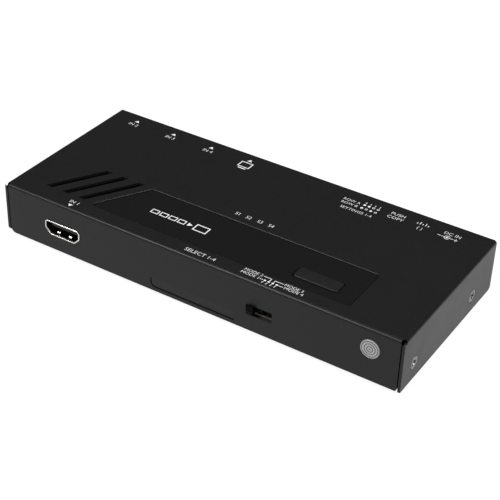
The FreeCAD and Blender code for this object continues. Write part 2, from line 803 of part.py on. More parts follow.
# ---- buttons ----

def make_button():
    """Crowned cap with a lip under the panel and a stem down to the tact switch."""
    half_l = BUTTON_L / 2
    half_w = BUTTON_W / 2
    flat_top = OVERLAY_TOP + BUTTON_PROUD
    sides = (BUTTON_X - half_l, BUTTON_X + half_l, BUTTON_Y - half_w, BUTTON_Y + half_w)
    lip_top = PANEL_UNDER - BUTTON_GAP
    cap = round_block(*sides, lip_top, flat_top + BUTTON_CROWN, BUTTON_R, Z_AXIS)
    crown_r = (half_w * half_w + BUTTON_CROWN * BUTTON_CROWN) / (2 * BUTTON_CROWN)
    crown_z = flat_top + BUTTON_CROWN - crown_r
    crown = rod(point(BUTTON_X - LENGTH, BUTTON_Y, crown_z), X_AXIS, crown_r, 2 * LENGTH)
    cap = cap.common(crown)
    grow = BUTTON_LIP
    lip_sides = (sides[0] - grow, sides[1] + grow, sides[2] - grow, sides[3] + grow)
    lip = round_block(*lip_sides, lip_top - BUTTON_LIP_T, lip_top, BUTTON_R, Z_AXIS)
    plunger_top = BOARD_TOP + TACT_TOP
    stem_top = lip_top - BUTTON_LIP_T
    stem = rod(point(BUTTON_X, BUTTON_Y, plunger_top), Z_AXIS, BUTTON_STEM_R, stem_top - plunger_top)
    return cap.fuse([lip, stem]).removeSplitter()


def make_tact_plunger():
    low = BOARD_TOP + TACT_H / 2
    return rod(point(BUTTON_X, BUTTON_Y, low), Z_AXIS, TACT_PLUNGER_R, BOARD_TOP + TACT_TOP - low)


def make_tact_body():
    half = TACT_L / 2
    sides = (BUTTON_X - half, BUTTON_X + half, BUTTON_Y - half, BUTTON_Y + half)
    body = block(*sides, BOARD_TOP, BOARD_TOP + TACT_H)
    low = BOARD_TOP + TACT_H / 2 - BUTTON_TRAVEL - RUN
    return body.cut(rod(point(BUTTON_X, BUTTON_Y, low), Z_AXIS, TACT_PLUNGER_R + RUN, TACT_H))


def copy_body_rear():
    return REAR_Y - SHEET - COPY_BODY_GAP


def make_copy_button():
    start = copy_body_rear() - COPY_BODY_T / 2
    plunger = rod(point(COPY_X, start, COPY_Z), Y_AXIS, COPY_R, REAR_Y + COPY_PROUD - start)
    tip = [edge for edge in plunger.Edges if abs(edge.CenterOfMass.y - REAR_Y - COPY_PROUD) < 1e-6]
    return plunger.makeFillet(COPY_TIP_R, tip)


def make_copy_body():
    half = COPY_BODY_L / 2
    rear = copy_body_rear()
    body = block(COPY_X - half, COPY_X + half, rear - COPY_BODY_T, rear, BOARD_TOP, BOARD_TOP + COPY_BODY_H)
    start = rear - COPY_BODY_T / 2 - COPY_TRAVEL - RUN
    return body.cut(rod(point(COPY_X, start, COPY_Z), Y_AXIS, COPY_R + RUN, COPY_BODY_T))


# ---- jacks ----

def make_serial_body():
    half = SERIAL_BODY_W / 2
    rear = REAR_Y - SHEET - FIT
    levels = (BOARD_TOP, BOARD_TOP + SERIAL_BODY_H)
    body = block(SERIAL_X - half, SERIAL_X + half, rear - SERIAL_BODY_L, rear, *levels)
    mouth = REAR_Y + JACK_PROUD
    body = body.cut(rod(point(SERIAL_X, mouth, SERIAL_Z), -Y_AXIS, SERIAL_BORE_R, SERIAL_BORE_L))
    ring_seat = rod(point(SERIAL_X, mouth, SERIAL_Z), -Y_AXIS, SERIAL_RING_R, SERIAL_RING_L)
    return body.cut(ring_seat)


def make_serial_ring():
    mouth = point(SERIAL_X, REAR_Y + JACK_PROUD, SERIAL_Z)
    ring = rod(mouth, -Y_AXIS, SERIAL_RING_R, SERIAL_RING_L)
    return ring.cut(rod(mouth, -Y_AXIS, SERIAL_BORE_R, SERIAL_RING_L))


def make_dc_body():
    half = DC_BODY_W / 2
    rear = REAR_Y - SHEET - FIT
    body = block(DC_X - half, DC_X + half, rear - DC_BODY_L, rear, BOARD_TOP, BOARD_TOP + DC_BODY_H)
    mouth = point(DC_X, REAR_Y + JACK_PROUD, DC_Z)
    collar = rod(mouth, -Y_AXIS, DC_COLLAR_R, DC_FLANGE_T + SHEET)
    rim = [edge for edge in collar.Edges if abs(edge.CenterOfMass.y - mouth.y) < 1e-6]
    body = body.fuse(collar.makeFillet(DC_COLLAR_EDGE_R, rim))
    return body.cut(rod(mouth, -Y_AXIS, DC_BORE_R, DC_BORE_L))


def make_dc_pin():
    bottom = REAR_Y + JACK_PROUD - DC_BORE_L
    pin = rod(point(DC_X, bottom, DC_Z), Y_AXIS, DC_PIN_R, DC_PIN_L)
    tip = [edge for edge in pin.Edges if abs(edge.CenterOfMass.y - bottom - DC_PIN_L) < 1e-6]
    return pin.makeFillet(DC_TIP_R, tip)


def make_dc_spring():
    """The sleeve contact that lies along the floor of the jack's bore."""
    deep = REAR_Y + JACK_PROUD - DC_BORE_L
    long_side = DC_BORE_L - DC_FLANGE_T
    shell = rod(point(DC_X, deep, DC_Z), Y_AXIS, DC_BORE_R, long_side)
    shell = shell.cut(rod(point(DC_X, deep, DC_Z), Y_AXIS, DC_BORE_R - DC_SPRING_T, long_side))
    low = DC_Z - DC_BORE_R
    levels = (low - SHEET, low + SHEET)
    return shell.common(block(DC_X - DC_PIN_R, DC_X + DC_PIN_R, deep, REAR_Y + SHEET, *levels))


# ---- window and receiver ----

def make_lens():
    """A round window with fine rings on its face, a flange behind the skirt and a short barrel."""
    step = LENS_R / LENS_RINGS
    outline = [(0, -LENS_PROUD)]
    for i in range(LENS_RINGS):
        outline.append(((i + 0.5) * step, LENS_RING_DEPTH - LENS_PROUD))
        outline.append(((i + 1) * step, -LENS_PROUD))
    flange_r = LENS_R + LENS_FLANGE
    barrel_end = SHEET + LENS_FLANGE_T + LENS_BARREL_L
    outline += [
        (LENS_R, SHEET),
        (flange_r, SHEET),
        (flange_r, SHEET + LENS_FLANGE_T),
        (LENS_BARREL_R, SHEET + LENS_FLANGE_T),
        (LENS_BARREL_R, barrel_end),
        (0, barrel_end),
    ]
    points = [point(LENS_X + x, FRONT_Y + y, LENS_MID_Z) for x, y in outline]
    face = Part.Face(Part.makePolygon(points + points[:1]))
    return face.revolve(point(LENS_X, 0, LENS_MID_Z), Y_AXIS, 360)


def make_receiver():
    """The light receiver behind the window, on three leads."""
    half = RECEIVER_L / 2
    front = FRONT_Y + SHEET + LENS_FLANGE_T + LENS_BARREL_L + RECEIVER_GAP
    low = LENS_MID_Z - RECEIVER_H / 2
    body = block(LENS_X - half, LENS_X + half, front, front + RECEIVER_T, low, low + RECEIVER_H)
    middle = front + RECEIVER_T / 2
    leads = []
    for i in (-1, 0, 1):
        x = LENS_X + i * LEAD_PITCH
        leads.append(block(x - LEAD_W / 2, x + LEAD_W / 2, middle, middle + LEAD_W, BOARD_TOP, low))
    return body.fuse(leads)


# ---- indicators ----

def led(i):
    x = LED_X0 + i * LED_PITCH
    half_l = LED_L / 2
    half_w = LED_W / 2
    return block(x - half_l, x + half_l, LED_Y - half_w, LED_Y + half_w, BOARD_TOP, BOARD_TOP + LED_T)


def make_light_guide():
    """Clear pillars on a bar, standing on two legs over the indicators."""
    last = LED_X0 + (LED_COUNT - 1) * LED_PITCH
    low = BOARD_TOP + GUIDE_BAR_RISE
    half = GUIDE_BAR_W / 2
    bar = block(LED_X0 - GUIDE_END, last + GUIDE_END, LED_Y - half, LED_Y + half, low, low + GUIDE_BAR_T)
    solids = []
    pillar_low = BOARD_TOP + LED_T + RUN
    for i in range(LED_COUNT):
        x = LED_X0 + i * LED_PITCH
        solids.append(rod(point(x, LED_Y, pillar_low), Z_AXIS, PILLAR_R, PANEL_FLOOR - FIT - pillar_low))
    for x in (LED_X0 - GUIDE_END + PILLAR_R, last + GUIDE_END - PILLAR_R):
        solids.append(rod(point(x, LED_Y, BOARD_TOP), Z_AXIS, PILLAR_R, low - BOARD_TOP))
    return bar.fuse(solids)


# ---- parts on the board ----

def square_part(x, y, side, low, height):
    half = side / 2
    return block(x - half, x + half, y - half, y + half, low, low + height)


def make_heat_sink():
    low = BOARD_TOP + CHIP_T
    sink = square_part(CHIP_X, CHIP_Y, SINK_L, low, SINK_BASE_T)
    pitch = (SINK_L - SINK_FIN_T) / (SINK_FINS - 1)
    fins = []
    for i in range(SINK_FINS):
        x = CHIP_X - SINK_L / 2 + i * pitch
        y0 = CHIP_Y - SINK_L / 2
        fins.append(block(x, x + SINK_FIN_T, y0, y0 + SINK_L, low, low + SINK_BASE_T + SINK_FIN_H))
    return sink.fuse(fins).removeSplitter()


def capacitor(x, y):
    can = rod(point(x, y, BOARD_TOP), Z_AXIS, CAP_R, CAP_H)
    top = [edge for edge in can.Edges if abs(edge.CenterOfMass.z - BOARD_TOP - CAP_H) < 1e-6]
    return can.makeFillet(CAP_TOP_R, top)


def make_crystal():
    half_l = CRYSTAL_L / 2
    half_w = CRYSTAL_W / 2
    sides = (CRYSTAL_X - half_l, CRYSTAL_X + half_l, CRYSTAL_Y - half_w, CRYSTAL_Y + half_w)
    return round_block(*sides, BOARD_TOP, BOARD_TOP + CRYSTAL_H, CRYSTAL_R, Z_AXIS)


def make_label():
    return block(-LABEL_L / 2, LABEL_L / 2, -LABEL_W / 2, LABEL_W / 2, EDGE_Z - LABEL_T, EDGE_Z)


def main():
    os.makedirs("parts", exist_ok=True)
    save("top_cover", make_cover())
    save("base_pan", make_base())
    save("overlay_label", make_overlay())
    save("rating_label", make_label())
    foot_x = HALF_L - FOOT_INSET
    foot_y = DEPTH / 2 - FOOT_INSET
    for row, y in (("front", -foot_y), ("rear", foot_y)):
        for column, x in (("left", -foot_x), ("right", foot_x)):
            save("foot_" + row + "_" + column, make_foot(x, y))
    save("side_screws", *[side_screw(side, y) for side in (-1, 1) for y in SCREW_Y])
    save("board_screws", *[board_screw(x, y) for x, y in board_places()])
    save("board_standoffs", *[standoff(x, y) for x, y in board_places()])
    save("main_board", make_board())
    save_port("video_in_1", FRONT_PORT_X, rear=False)
    for name, x in zip(("video_in_2", "video_in_3", "video_in_4", "video_out"), rear_ports()):
        save_port(name, x, rear=True)
    save_switch("mode_switch", MODE_SWITCH_X, rear=False)
    save_switch("settings_switch", SETTINGS_SWITCH_X, rear=True)
    save("select_button", make_button())
    save("select_switch_plunger", make_tact_plunger())
    save("select_switch_body", make_tact_body())
    save("copy_button", make_copy_button())
    save("copy_switch_body", make_copy_body())
    save("serial_jack_body", make_serial_body())
    save("serial_jack_bushing", make_serial_ring())
    save("dc_jack_body", make_dc_body())
    save("dc_jack_pin", make_dc_pin())
    save("dc_jack_spring", make_dc_spring())
    save("status_lens", make_lens())
    save("ir_receiver", make_receiver())
    for i in range(LED_COUNT):
        save("status_led_" + str(i + 1), led(i))
    save("light_guide", make_light_guide())
    save("switch_chip", square_part(CHIP_X, CHIP_Y, CHIP_L, BOARD_TOP, CHIP_T))
    save("heat_sink", make_heat_sink())
    save("control_chip", square_part(CONTROL_X, CONTROL_Y, CONTROL_L, BOARD_TOP, CONTROL_T))
    save("capacitors", *[capacitor(x, y) for x, y in CAP_PLACES])
    save("inductor", square_part(COIL_X, COIL_Y, COIL_L, BOARD_TOP, COIL_H))
    save("crystal", make_crystal())


main()
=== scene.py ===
"""Looks of the four-input video switch box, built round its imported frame.

Lengths are in metres; MM turns millimetres into metres. X runs along the case to the right, Y to the back and
Z up.
Every new piece is a surface worked out with numpy from the frame's boxes and the sizes named here.
"""
import math

import bmesh
import bpy
import numpy as np
from mathutils import Matrix, Vector


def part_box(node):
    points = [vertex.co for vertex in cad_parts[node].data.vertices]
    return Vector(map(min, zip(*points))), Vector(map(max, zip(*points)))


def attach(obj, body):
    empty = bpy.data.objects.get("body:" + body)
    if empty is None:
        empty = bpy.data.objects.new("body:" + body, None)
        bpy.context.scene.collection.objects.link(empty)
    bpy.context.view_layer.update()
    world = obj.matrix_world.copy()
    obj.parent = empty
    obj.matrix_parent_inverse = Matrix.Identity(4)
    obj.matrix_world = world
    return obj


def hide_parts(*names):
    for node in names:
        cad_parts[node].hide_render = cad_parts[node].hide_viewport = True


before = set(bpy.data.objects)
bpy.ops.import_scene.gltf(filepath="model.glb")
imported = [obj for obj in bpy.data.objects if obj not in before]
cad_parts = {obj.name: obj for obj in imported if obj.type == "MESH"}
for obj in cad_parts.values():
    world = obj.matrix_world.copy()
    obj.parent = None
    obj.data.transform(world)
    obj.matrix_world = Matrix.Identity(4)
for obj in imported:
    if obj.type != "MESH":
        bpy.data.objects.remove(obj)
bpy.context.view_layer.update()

MM = 0.001
X_WAY, Y_WAY, Z_WAY = np.eye(3)


# ---- surfaces ----
# A surface is an array of points and a list of arrays of point numbers, each of quads or of triangles.

def grid_faces(rows, columns, wrap_rows=False, wrap_columns=False):
    """Quads between neighbours on a grid of rows x columns points; a wrapped way's end joins its start."""
    row = np.arange(rows if wrap_rows else rows - 1)[:, None]
    column = np.arange(columns if wrap_columns else columns - 1)[None, :]
    next_row = (row + 1) % rows
    next_column = (column + 1) % columns
    corners = (
        row * columns + column,
        row * columns + next_column,
        next_row * columns + next_column,
        next_row * columns + column,
    )
    return np.stack(corners, axis=-1).reshape(-1, 4)


def fan_faces(ring, pole):
    """Triangles from one pole to each side of a ring of points."""
    return np.stack([ring, np.roll(ring, -1), np.full(len(ring), pole)], axis=-1)


def together(surfaces):
    """One surface from several: the point numbers of each are moved past the points before it."""
    starts = np.cumsum([0] + [len(points) for points, faces in surfaces])
    points = np.concatenate([points for points, faces in surfaces])
    faces = [array + start for surface, start in zip(surfaces, starts) for array in surface[1]]
    return points, faces


def outwards(surface):
    """The surface with its faces turned round if the volume they enclose comes out negative."""
    points, faces = surface
    middle = points.mean(axis=0)
    volume = 0.0
    for array in faces:
        corners = points[array] - middle
        for k in range(1, array.shape[1] - 1):
            volume += np.sum(corners[:, 0] * np.cross(corners[:, k], corners[:, k + 1]))
    if volume > 0:
        return surface
    return points, [array[:, ::-1] for array in faces]


def placed(surface, origin, across=X_WAY, along=Y_WAY, rise=Z_WAY):
    """The surface with its own three axes laid along world directions and its zero at origin."""
    points, faces = surface
    axes = np.array([across, along, rise], float)
    return outwards((points @ axes + np.array(origin, float), faces))


def round_outline(corners, radius, steps=7):
    """A convex polygon, counterclockwise, with round corners.

    Each corner's arc has its centre one radius inside both sides, and its ways turn evenly from one side's
    outward normal to the next side's. The outline grown by g is centre + (radius + g) * way.
    """
    corners = np.array(corners, float)
    way_in = corners - np.roll(corners, 1, axis=0)
    way_in /= np.linalg.norm(way_in, axis=1)[:, None]
    way_out = np.roll(way_in, -1, axis=0)
    normal_in = np.stack([way_in[:, 1], -way_in[:, 0]], axis=1)
    normal_out = np.stack([way_out[:, 1], -way_out[:, 0]], axis=1)
    cosine = np.sum(normal_in * normal_out, axis=1)
    centres = corners - radius * (normal_in + normal_out) / (1 + cosine)[:, None]
    start = np.arctan2(normal_in[:, 1], normal_in[:, 0])
    angles = start[:, None] + np.arccos(cosine)[:, None] * np.linspace(0, 1, steps)
    ways = np.stack([np.cos(angles), np.sin(angles)], axis=-1).reshape(-1, 2)
    return np.repeat(centres, steps, axis=0), ways, radius


def round_oblong(half_a, half_b, radius, steps=7):
    """A rectangle round the origin with round corners."""
    corners = [(-half_a, -half_b), (half_a, -half_b), (half_a, half_b), (-half_a, half_b)]
    return round_outline(corners, radius, steps)


def circle(steps=64):
    """An outline of radius zero, so that a profile's grow is the radius itself."""
    angles = np.linspace(0, 2 * math.pi, steps, endpoint=False)
    return np.zeros((steps, 2)), np.stack([np.cos(angles), np.sin(angles)], axis=1), 0.0


def carried(outline, profile, ring=False):
    """A profile carried round an outline.

    A row of the profile is (grow, shrink, level): the outline grown by grow, drawn towards its middle by the
    share shrink, at height level. In a ring the last row joins the first; otherwise both end rows are closed
    by a point in their middle.
    """
    centres, ways, radius = outline
    grow, shrink, level = np.array(profile, float).T[:, :, None, None]
    middle = centres.mean(axis=0)
    flat = middle + (1 - shrink) * (centres + (radius + grow) * ways - middle)
    rows, columns = flat.shape[:2]
    points = np.concatenate([flat, np.broadcast_to(level, (rows, columns, 1))], axis=-1).reshape(-1, 3)
    faces = [grid_faces(rows, columns, wrap_rows=ring, wrap_columns=True)]
    if not ring:
        ends = (0, rows - 1)
        poles = [(*middle, level[end, 0, 0]) for end in ends]
        points = np.concatenate([points, poles])
        for k, end in enumerate(ends):
            loop = end * columns + np.arange(columns)
            faces.append(fan_faces(loop if end else loop[::-1], rows * columns + k))
    return outwards((points, faces))


def pairs(*profile):
    """Profile rows (grow, 0, level) from pairs (grow, level)."""
    return np.array([(grow, 0, level) for grow, level in profile], float)


def arc(grow, level, radius, start, end, steps=6):
    """Profile rows on an arc round (grow, level). Angles are in degrees, 0 outwards and 90 up."""
    angles = np.radians(np.linspace(start, end, steps))
    out, up = radius * np.cos(angles), radius * np.sin(angles)
    return np.stack([grow + out, np.zeros(steps), level + up], axis=1)


def inwards_rows(grow, level, shares):
    """Profile rows at one level that draw in towards the middle by the given shares."""
    return np.array([(grow, share, level) for share in shares], float)


def edge_lines(low, high, radius, inner):
    """Grid lines from low to high, close together within radius of both ends."""
    near = np.linspace(0, radius, 5)
    middle = np.linspace(low + radius, high - radius, inner)
    return np.unique(np.concatenate([low + near, middle, high - near]))


def soft_block(low, high, radius, inner=(2, 2, 2)):
    """A block with round edges.

    Points on six face grids are clamped to the block less its radius, and pushed out again by the radius
    along the way from the clamped point to the first one.
    """
    low, high = np.array(low, float), np.array(high, float)
    sides = []
    for axis in range(3):
        u, v = (axis + 1) % 3, (axis + 2) % 3
        u_lines = edge_lines(low[u], high[u], radius, inner[u])
        v_lines = edge_lines(low[v], high[v], radius, inner[v])
        for end, level in enumerate((low[axis], high[axis])):
            points = np.empty((len(u_lines), len(v_lines), 3))
            points[..., u], points[..., v] = np.meshgrid(u_lines, v_lines, indexing="ij")
            points[..., axis] = level
            faces = grid_faces(len(u_lines), len(v_lines))
            sides.append((points.reshape(-1, 3), [faces[:, ::-1] if end else faces]))
    points, faces = together(sides)
    core = np.clip(points, low + radius, high - radius)
    way = points - core
    way /= np.linalg.norm(way, axis=1)[:, None]
    return core + radius * way, faces


def strip(path, half_width, thickness):
    """A flat strip along a path of (level, rise) pairs, with a square section, closed at both ends."""
    path = np.array(path, float)
    ahead = np.gradient(path, axis=0)
    ahead /= np.linalg.norm(ahead, axis=1)[:, None]
    normal = np.stack([-ahead[:, 1], ahead[:, 0]], axis=1) * thickness / 2
    section = ((-1, -1), (1, -1), (1, 1), (-1, 1))
    count = len(path)
    points = np.empty((count, 4, 3))
    for k, (side, up) in enumerate(section):
        points[:, k, 0] = side * half_width
        points[:, k, 1:] = path + up * normal
    ends = np.array([[3, 2, 1, 0], [0, 1, 2, 3]]) + np.array([[0], [4 * (count - 1)]])
    return outwards((points.reshape(-1, 3), [grid_faces(count, 4, wrap_columns=True), ends]))


def smooth_step(value):
    """0 below 0, 1 above 1, and an even S between."""
    share = np.clip(value, 0, 1)
    return share * share * (3 - 2 * share)


SHARP_ANGLE = math.radians(35)
WELD = 1e-7


def make_piece(name, surfaces, material, body, stands_for=()):
    """Puts the surfaces into one mesh object that rides on body, with one finish."""
    points, faces = together(surfaces)
    mesh = bpy.data.meshes.new(name)
    mesh.from_pydata(points.tolist(), [], [face for array in faces for face in array.tolist()])
    welded = bmesh.new()
    welded.from_mesh(mesh)
    bmesh.ops.remove_doubles(welded, verts=welded.verts, dist=WELD)
    welded.to_mesh(mesh)
    welded.free()
    mesh.shade_smooth()
    mesh.set_sharp_from_angle(angle=SHARP_ANGLE)
    mesh.materials.append(material)
    piece = bpy.data.objects.new(name, mesh)
    bpy.context.scene.collection.objects.link(piece)
    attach(piece, body)
    if stands_for:
        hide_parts(*stands_for)
    return piece


# ---- finishes ----

COAT_IOR = 1.28
NICKEL = (0.70, 0.68, 0.65)


class Finish:
    """A material: its main shader, and patterns on Object coordinates that drive it."""

    def __init__(self, name, colour, roughness, metallic=0.0, ior=1.5):
        self.material = bpy.data.materials.new(name)
        self.material.use_nodes = True
        self.nodes = self.material.node_tree.nodes
        self.links = self.material.node_tree.links
        self.main = self.nodes["Principled BSDF"]
        self.main.inputs["Base Color"].default_value = (*colour, 1)
        self.main.inputs["Roughness"].default_value = roughness
        self.main.inputs["Metallic"].default_value = metallic
        self.main.inputs["IOR"].default_value = ior
        self.place = self.nodes.new("ShaderNodeTexCoord").outputs["Object"]

    def stretched(self, scale, location=(0, 0, 0)):
        """Object coordinates scaled along each axis, then moved by location."""
        mapping = self.nodes.new("ShaderNodeMapping")
        mapping.vector_type = "POINT"
        mapping.inputs["Scale"].default_value = scale
        mapping.inputs["Location"].default_value = location
        self.links.new(self.place, mapping.inputs["Vector"])
        return mapping.outputs["Vector"]

    def noise(self, scale, detail=2.0, stretch=None):
        """Noise with about scale features to the metre, drawn out along an axis whose stretch is small."""
        texture = self.nodes.new("ShaderNodeTexNoise")
        texture.inputs["Scale"].default_value = scale
        texture.inputs["Detail"].default_value = detail
        self.links.new(self.stretched(stretch) if stretch else self.place, texture.inputs["Vector"])
        return texture.outputs["Fac"]

    def arithmetic(self, operation, value, *numbers):
        """A Math node on a value and the constant numbers after it."""
        step = self.nodes.new("ShaderNodeMath")
        step.operation = operation
        self.links.new(value, step.inputs[0])
        for k, number in enumerate(numbers):
            step.inputs[k + 1].default_value = number
        return step.outputs["Value"]

    def spread(self, value, low, high, start=0.3, end=0.7):
        """Maps a pattern's start..end to low..high."""
        ramp = self.nodes.new("ShaderNodeMapRange")
        ramp.inputs["From Min"].default_value = start
        ramp.inputs["From Max"].default_value = end
        ramp.inputs["To Min"].default_value = low
        ramp.inputs["To Max"].default_value = high
        self.links.new(value, ramp.inputs["Value"])
        return ramp.outputs["Result"]

    def tint(self, value, first, second, start=0.35, end=0.65):
        """Colours the surface from first to second as a pattern goes from start to end."""
        ramp = self.nodes.new("ShaderNodeValToRGB")
        low, high = ramp.color_ramp.elements
        low.position, low.color = start, (*first, 1)
        high.position, high.color = end, (*second, 1)
        self.links.new(value, ramp.inputs["Fac"])
        self.links.new(ramp.outputs["Color"], self.main.inputs["Base Color"])

    def roughen(self, value, low, high):
        """Makes the roughness follow a pattern, from low to high."""
        self.links.new(self.spread(value, low, high), self.main.inputs["Roughness"])

    def raise_by(self, height, strength, distance):
        """Raises the surface by a pattern, distance metres from its low to its high."""
        bump = self.nodes.new("ShaderNodeBump")
        bump.inputs["Strength"].default_value = strength
        bump.inputs["Distance"].default_value = distance
        self.links.new(height, bump.inputs["Height"])
        self.links.new(bump.outputs["Normal"], self.main.inputs["Normal"])


def powder_coat():
    """Satin black powder coat: a fine orange peel, with slightly duller clouds."""
    coat = Finish("satin_powder_coat", (0.009, 0.009, 0.0095), 0.36, ior=COAT_IOR)
    peel = coat.noise(1700, detail=3)
    coat.tint(peel, (0.0078, 0.0078, 0.0083), (0.0106, 0.0106, 0.0111))
    coat.roughen(coat.noise(70), 0.33, 0.39)
    coat.raise_by(peel, 0.22, 0.00008)
    return coat.material


def overlay_film():
    """Dark velvet-textured film: finer and a little darker than the coat round it."""
    film = Finish("panel_film", (0.0055, 0.0055, 0.0058), 0.34, ior=COAT_IOR)
    grain = film.noise(4200)
    film.roughen(grain, 0.30, 0.40)
    film.raise_by(grain, 0.12, 0.00004)
    return film.material


def legend_ink():
    """Screen-printed white, a little uneven in cover."""
    ink = Finish("legend_ink", (0.80, 0.80, 0.79), 0.55)
    cover = ink.noise(3000)
    ink.tint(cover, (0.66, 0.66, 0.65), (0.84, 0.84, 0.83))
    ink.raise_by(cover, 0.3, 0.00001)
    return ink.material


MOUTH_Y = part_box("top_cover")[1].y + 0.1 * MM     # outside this the sockets' shells are bright; nearer the case's middle they carry painted shade
MOUTH_SHADE_FADE = 0.4 * MM


def nickel_shell(name, painted_shade_from=None):
    """Bright nickel on drawn sheet, with faint draw lines along the depth.

    With painted_shade_from, painted shade darkens the metal over the last MOUTH_SHADE_FADE before that
    distance from the case's middle plane, and covers it everywhere nearer to that plane: the shade deep
    inside the sockets.
    """
    nickel = Finish(name, NICKEL, 0.24, metallic=1.0)
    if painted_shade_from:
        axes = nickel.nodes.new("ShaderNodeSeparateXYZ")
        nickel.links.new(nickel.place, axes.inputs["Vector"])
        depth = nickel.arithmetic("ABSOLUTE", axes.outputs["Y"])
        share = nickel.spread(depth, 0, 1, painted_shade_from - MOUTH_SHADE_FADE, painted_shade_from)
        # Painted shade: the nickel deeper in the socket is tinted dark, and the mouth stays bright.
        nickel.tint(share, (0.05, 0.05, 0.045), NICKEL, 0, 1)
    lines = nickel.noise(4000, stretch=(1, 0.06, 1))
    nickel.roughen(lines, 0.18, 0.34)
    nickel.raise_by(lines, 0.2, 0.00001)
    return nickel.material


def screw_zinc():
    """Dulled zinc on screws, mottled."""
    zinc = Finish("screw_zinc", (0.155, 0.15, 0.152), 0.34, metallic=1.0)
    mottle = zinc.noise(1500)
    zinc.tint(mottle, (0.115, 0.11, 0.114), (0.20, 0.193, 0.197))
    zinc.roughen(mottle, 0.25, 0.42)
    zinc.raise_by(mottle, 0.25, 0.00003)
    return zinc.material


def plated_steel():
    """Tin-plated steel of pins, screws and standoffs."""
    steel = Finish("tinned_steel", (0.55, 0.54, 0.52), 0.35, metallic=1.0)
    mottle = steel.noise(900)
    steel.roughen(mottle, 0.28, 0.45)
    steel.raise_by(mottle, 0.15, 0.00002)
    return steel.material


def switch_steel():
    """Yellowish nickel on the slide switches' frames, painted dark for the shade inside their slots."""
    # Painted shade: a dark base colour in place of the shade in the switch slots.
    steel = Finish("switch_steel", (0.22, 0.20, 0.16), 0.42, metallic=1.0)
    mottle = steel.noise(1200)
    steel.tint(mottle, (0.17, 0.155, 0.125), (0.28, 0.26, 0.21))
    steel.raise_by(mottle, 0.15, 0.00002)
    return steel.material


def gold_contact():
    """Gold flash on stamped contacts, worn a little duller in patches."""
    gold = Finish("contact_gold", (0.83, 0.60, 0.25), 0.28, metallic=1.0)
    wear = gold.noise(2500)
    gold.tint(wear, (0.66, 0.46, 0.20), (0.86, 0.64, 0.28))
    gold.raise_by(wear, 0.1, 0.00001)
    return gold.material


def moulded_black(name, shade, roughness, grain_scale, ior):
    """Black moulding with a fine spark-eroded grain."""
    moulding = Finish(name, (shade, shade, shade * 1.03), roughness, ior=ior)
    grain = moulding.noise(grain_scale, detail=3)
    moulding.roughen(grain, roughness - 0.05, roughness + 0.06)
    moulding.raise_by(grain, 0.25, 0.00003)
    return moulding.material


def brown_laminate():
    """Phenolic laminate, brown with darker fibres."""
    laminate = Finish("brown_laminate", (0.011, 0.009, 0.005), 0.6, ior=1.25)
    fibres = laminate.noise(3500, stretch=(0.2, 1, 1))
    laminate.tint(fibres, (0.007, 0.006, 0.003), (0.015, 0.0125, 0.007))
    laminate.raise_by(fibres, 0.2, 0.00002)
    return laminate.material


def solder_mask():
    """Green solder mask over copper tracks that show as slightly paler lines."""
    mask = Finish("green_solder_mask", (0.01, 0.07, 0.03), 0.3)
    tracks = mask.nodes.new("ShaderNodeTexBrick")
    tracks.inputs["Scale"].default_value = 320
    tracks.inputs["Mortar Size"].default_value = 0.03
    tracks.inputs["Color1"].default_value = (0.008, 0.055, 0.024, 1)
    tracks.inputs["Color2"].default_value = (0.009, 0.065, 0.028, 1)
    tracks.inputs["Mortar"].default_value = (0.02, 0.13, 0.055, 1)
    mask.links.new(mask.place, tracks.inputs["Vector"])
    mask.links.new(tracks.outputs["Color"], mask.main.inputs["Base Color"])
    mask.raise_by(tracks.outputs["Fac"], 0.3, 0.00003)
    return mask.material


def foot_rubber():
    """Matt black rubber with a dusty bloom."""
    rubber = Finish("foot_rubber", (0.016, 0.016, 0.016), 0.8)
    bloom = rubber.noise(600)
    rubber.tint(bloom, (0.012, 0.012, 0.012), (0.028, 0.028, 0.027))
    rubber.raise_by(bloom, 0.3, 0.00005)
    return rubber.material


def label_foil():
    """Blank silver-grey label foil with a fine brushed grain."""
    foil = Finish("label_foil", (0.55, 0.55, 0.55), 0.45)
    foil.tint(foil.noise(5000, stretch=(0.05, 1, 1)), (0.48, 0.48, 0.48), (0.62, 0.62, 0.62))
    return foil.material


def chip_epoxy():
    """Moulded chip epoxy, dark grey with fine filler specks."""
    epoxy = Finish("chip_epoxy", (0.022, 0.022, 0.024), 0.55)
    specks = epoxy.noise(5000)
    epoxy.tint(specks, (0.015, 0.015, 0.017), (0.035, 0.035, 0.037))
    epoxy.raise_by(specks, 0.2, 0.00001)
    return epoxy.material


def led_resin():
    """Milky yellowish resin over an indicator."""
    resin = Finish("led_resin", (0.75, 0.71, 0.52), 0.3)
    resin.tint(resin.noise(1500), (0.66, 0.61, 0.42), (0.80, 0.77, 0.60))
    return resin.material


def clear_guide():
    """Clear acrylic of the light guide."""
    acrylic = Finish("clear_acrylic", (0.92, 0.94, 0.95), 0.08, ior=1.49)
    acrylic.main.inputs["Transmission Weight"].default_value = 0.9
    acrylic.roughen(acrylic.noise(800), 0.05, 0.14)
    return acrylic.material


def brushed_aluminium(name, shade, stretch):
    """Aluminium with fine lines round or along the part."""
    aluminium = Finish(name, (shade, shade, shade * 1.01), 0.35, metallic=1.0)
    lines = aluminium.noise(3000, stretch=stretch)
    aluminium.roughen(lines, 0.25, 0.45)
    aluminium.raise_by(lines, 0.2, 0.00001)
    return aluminium.material


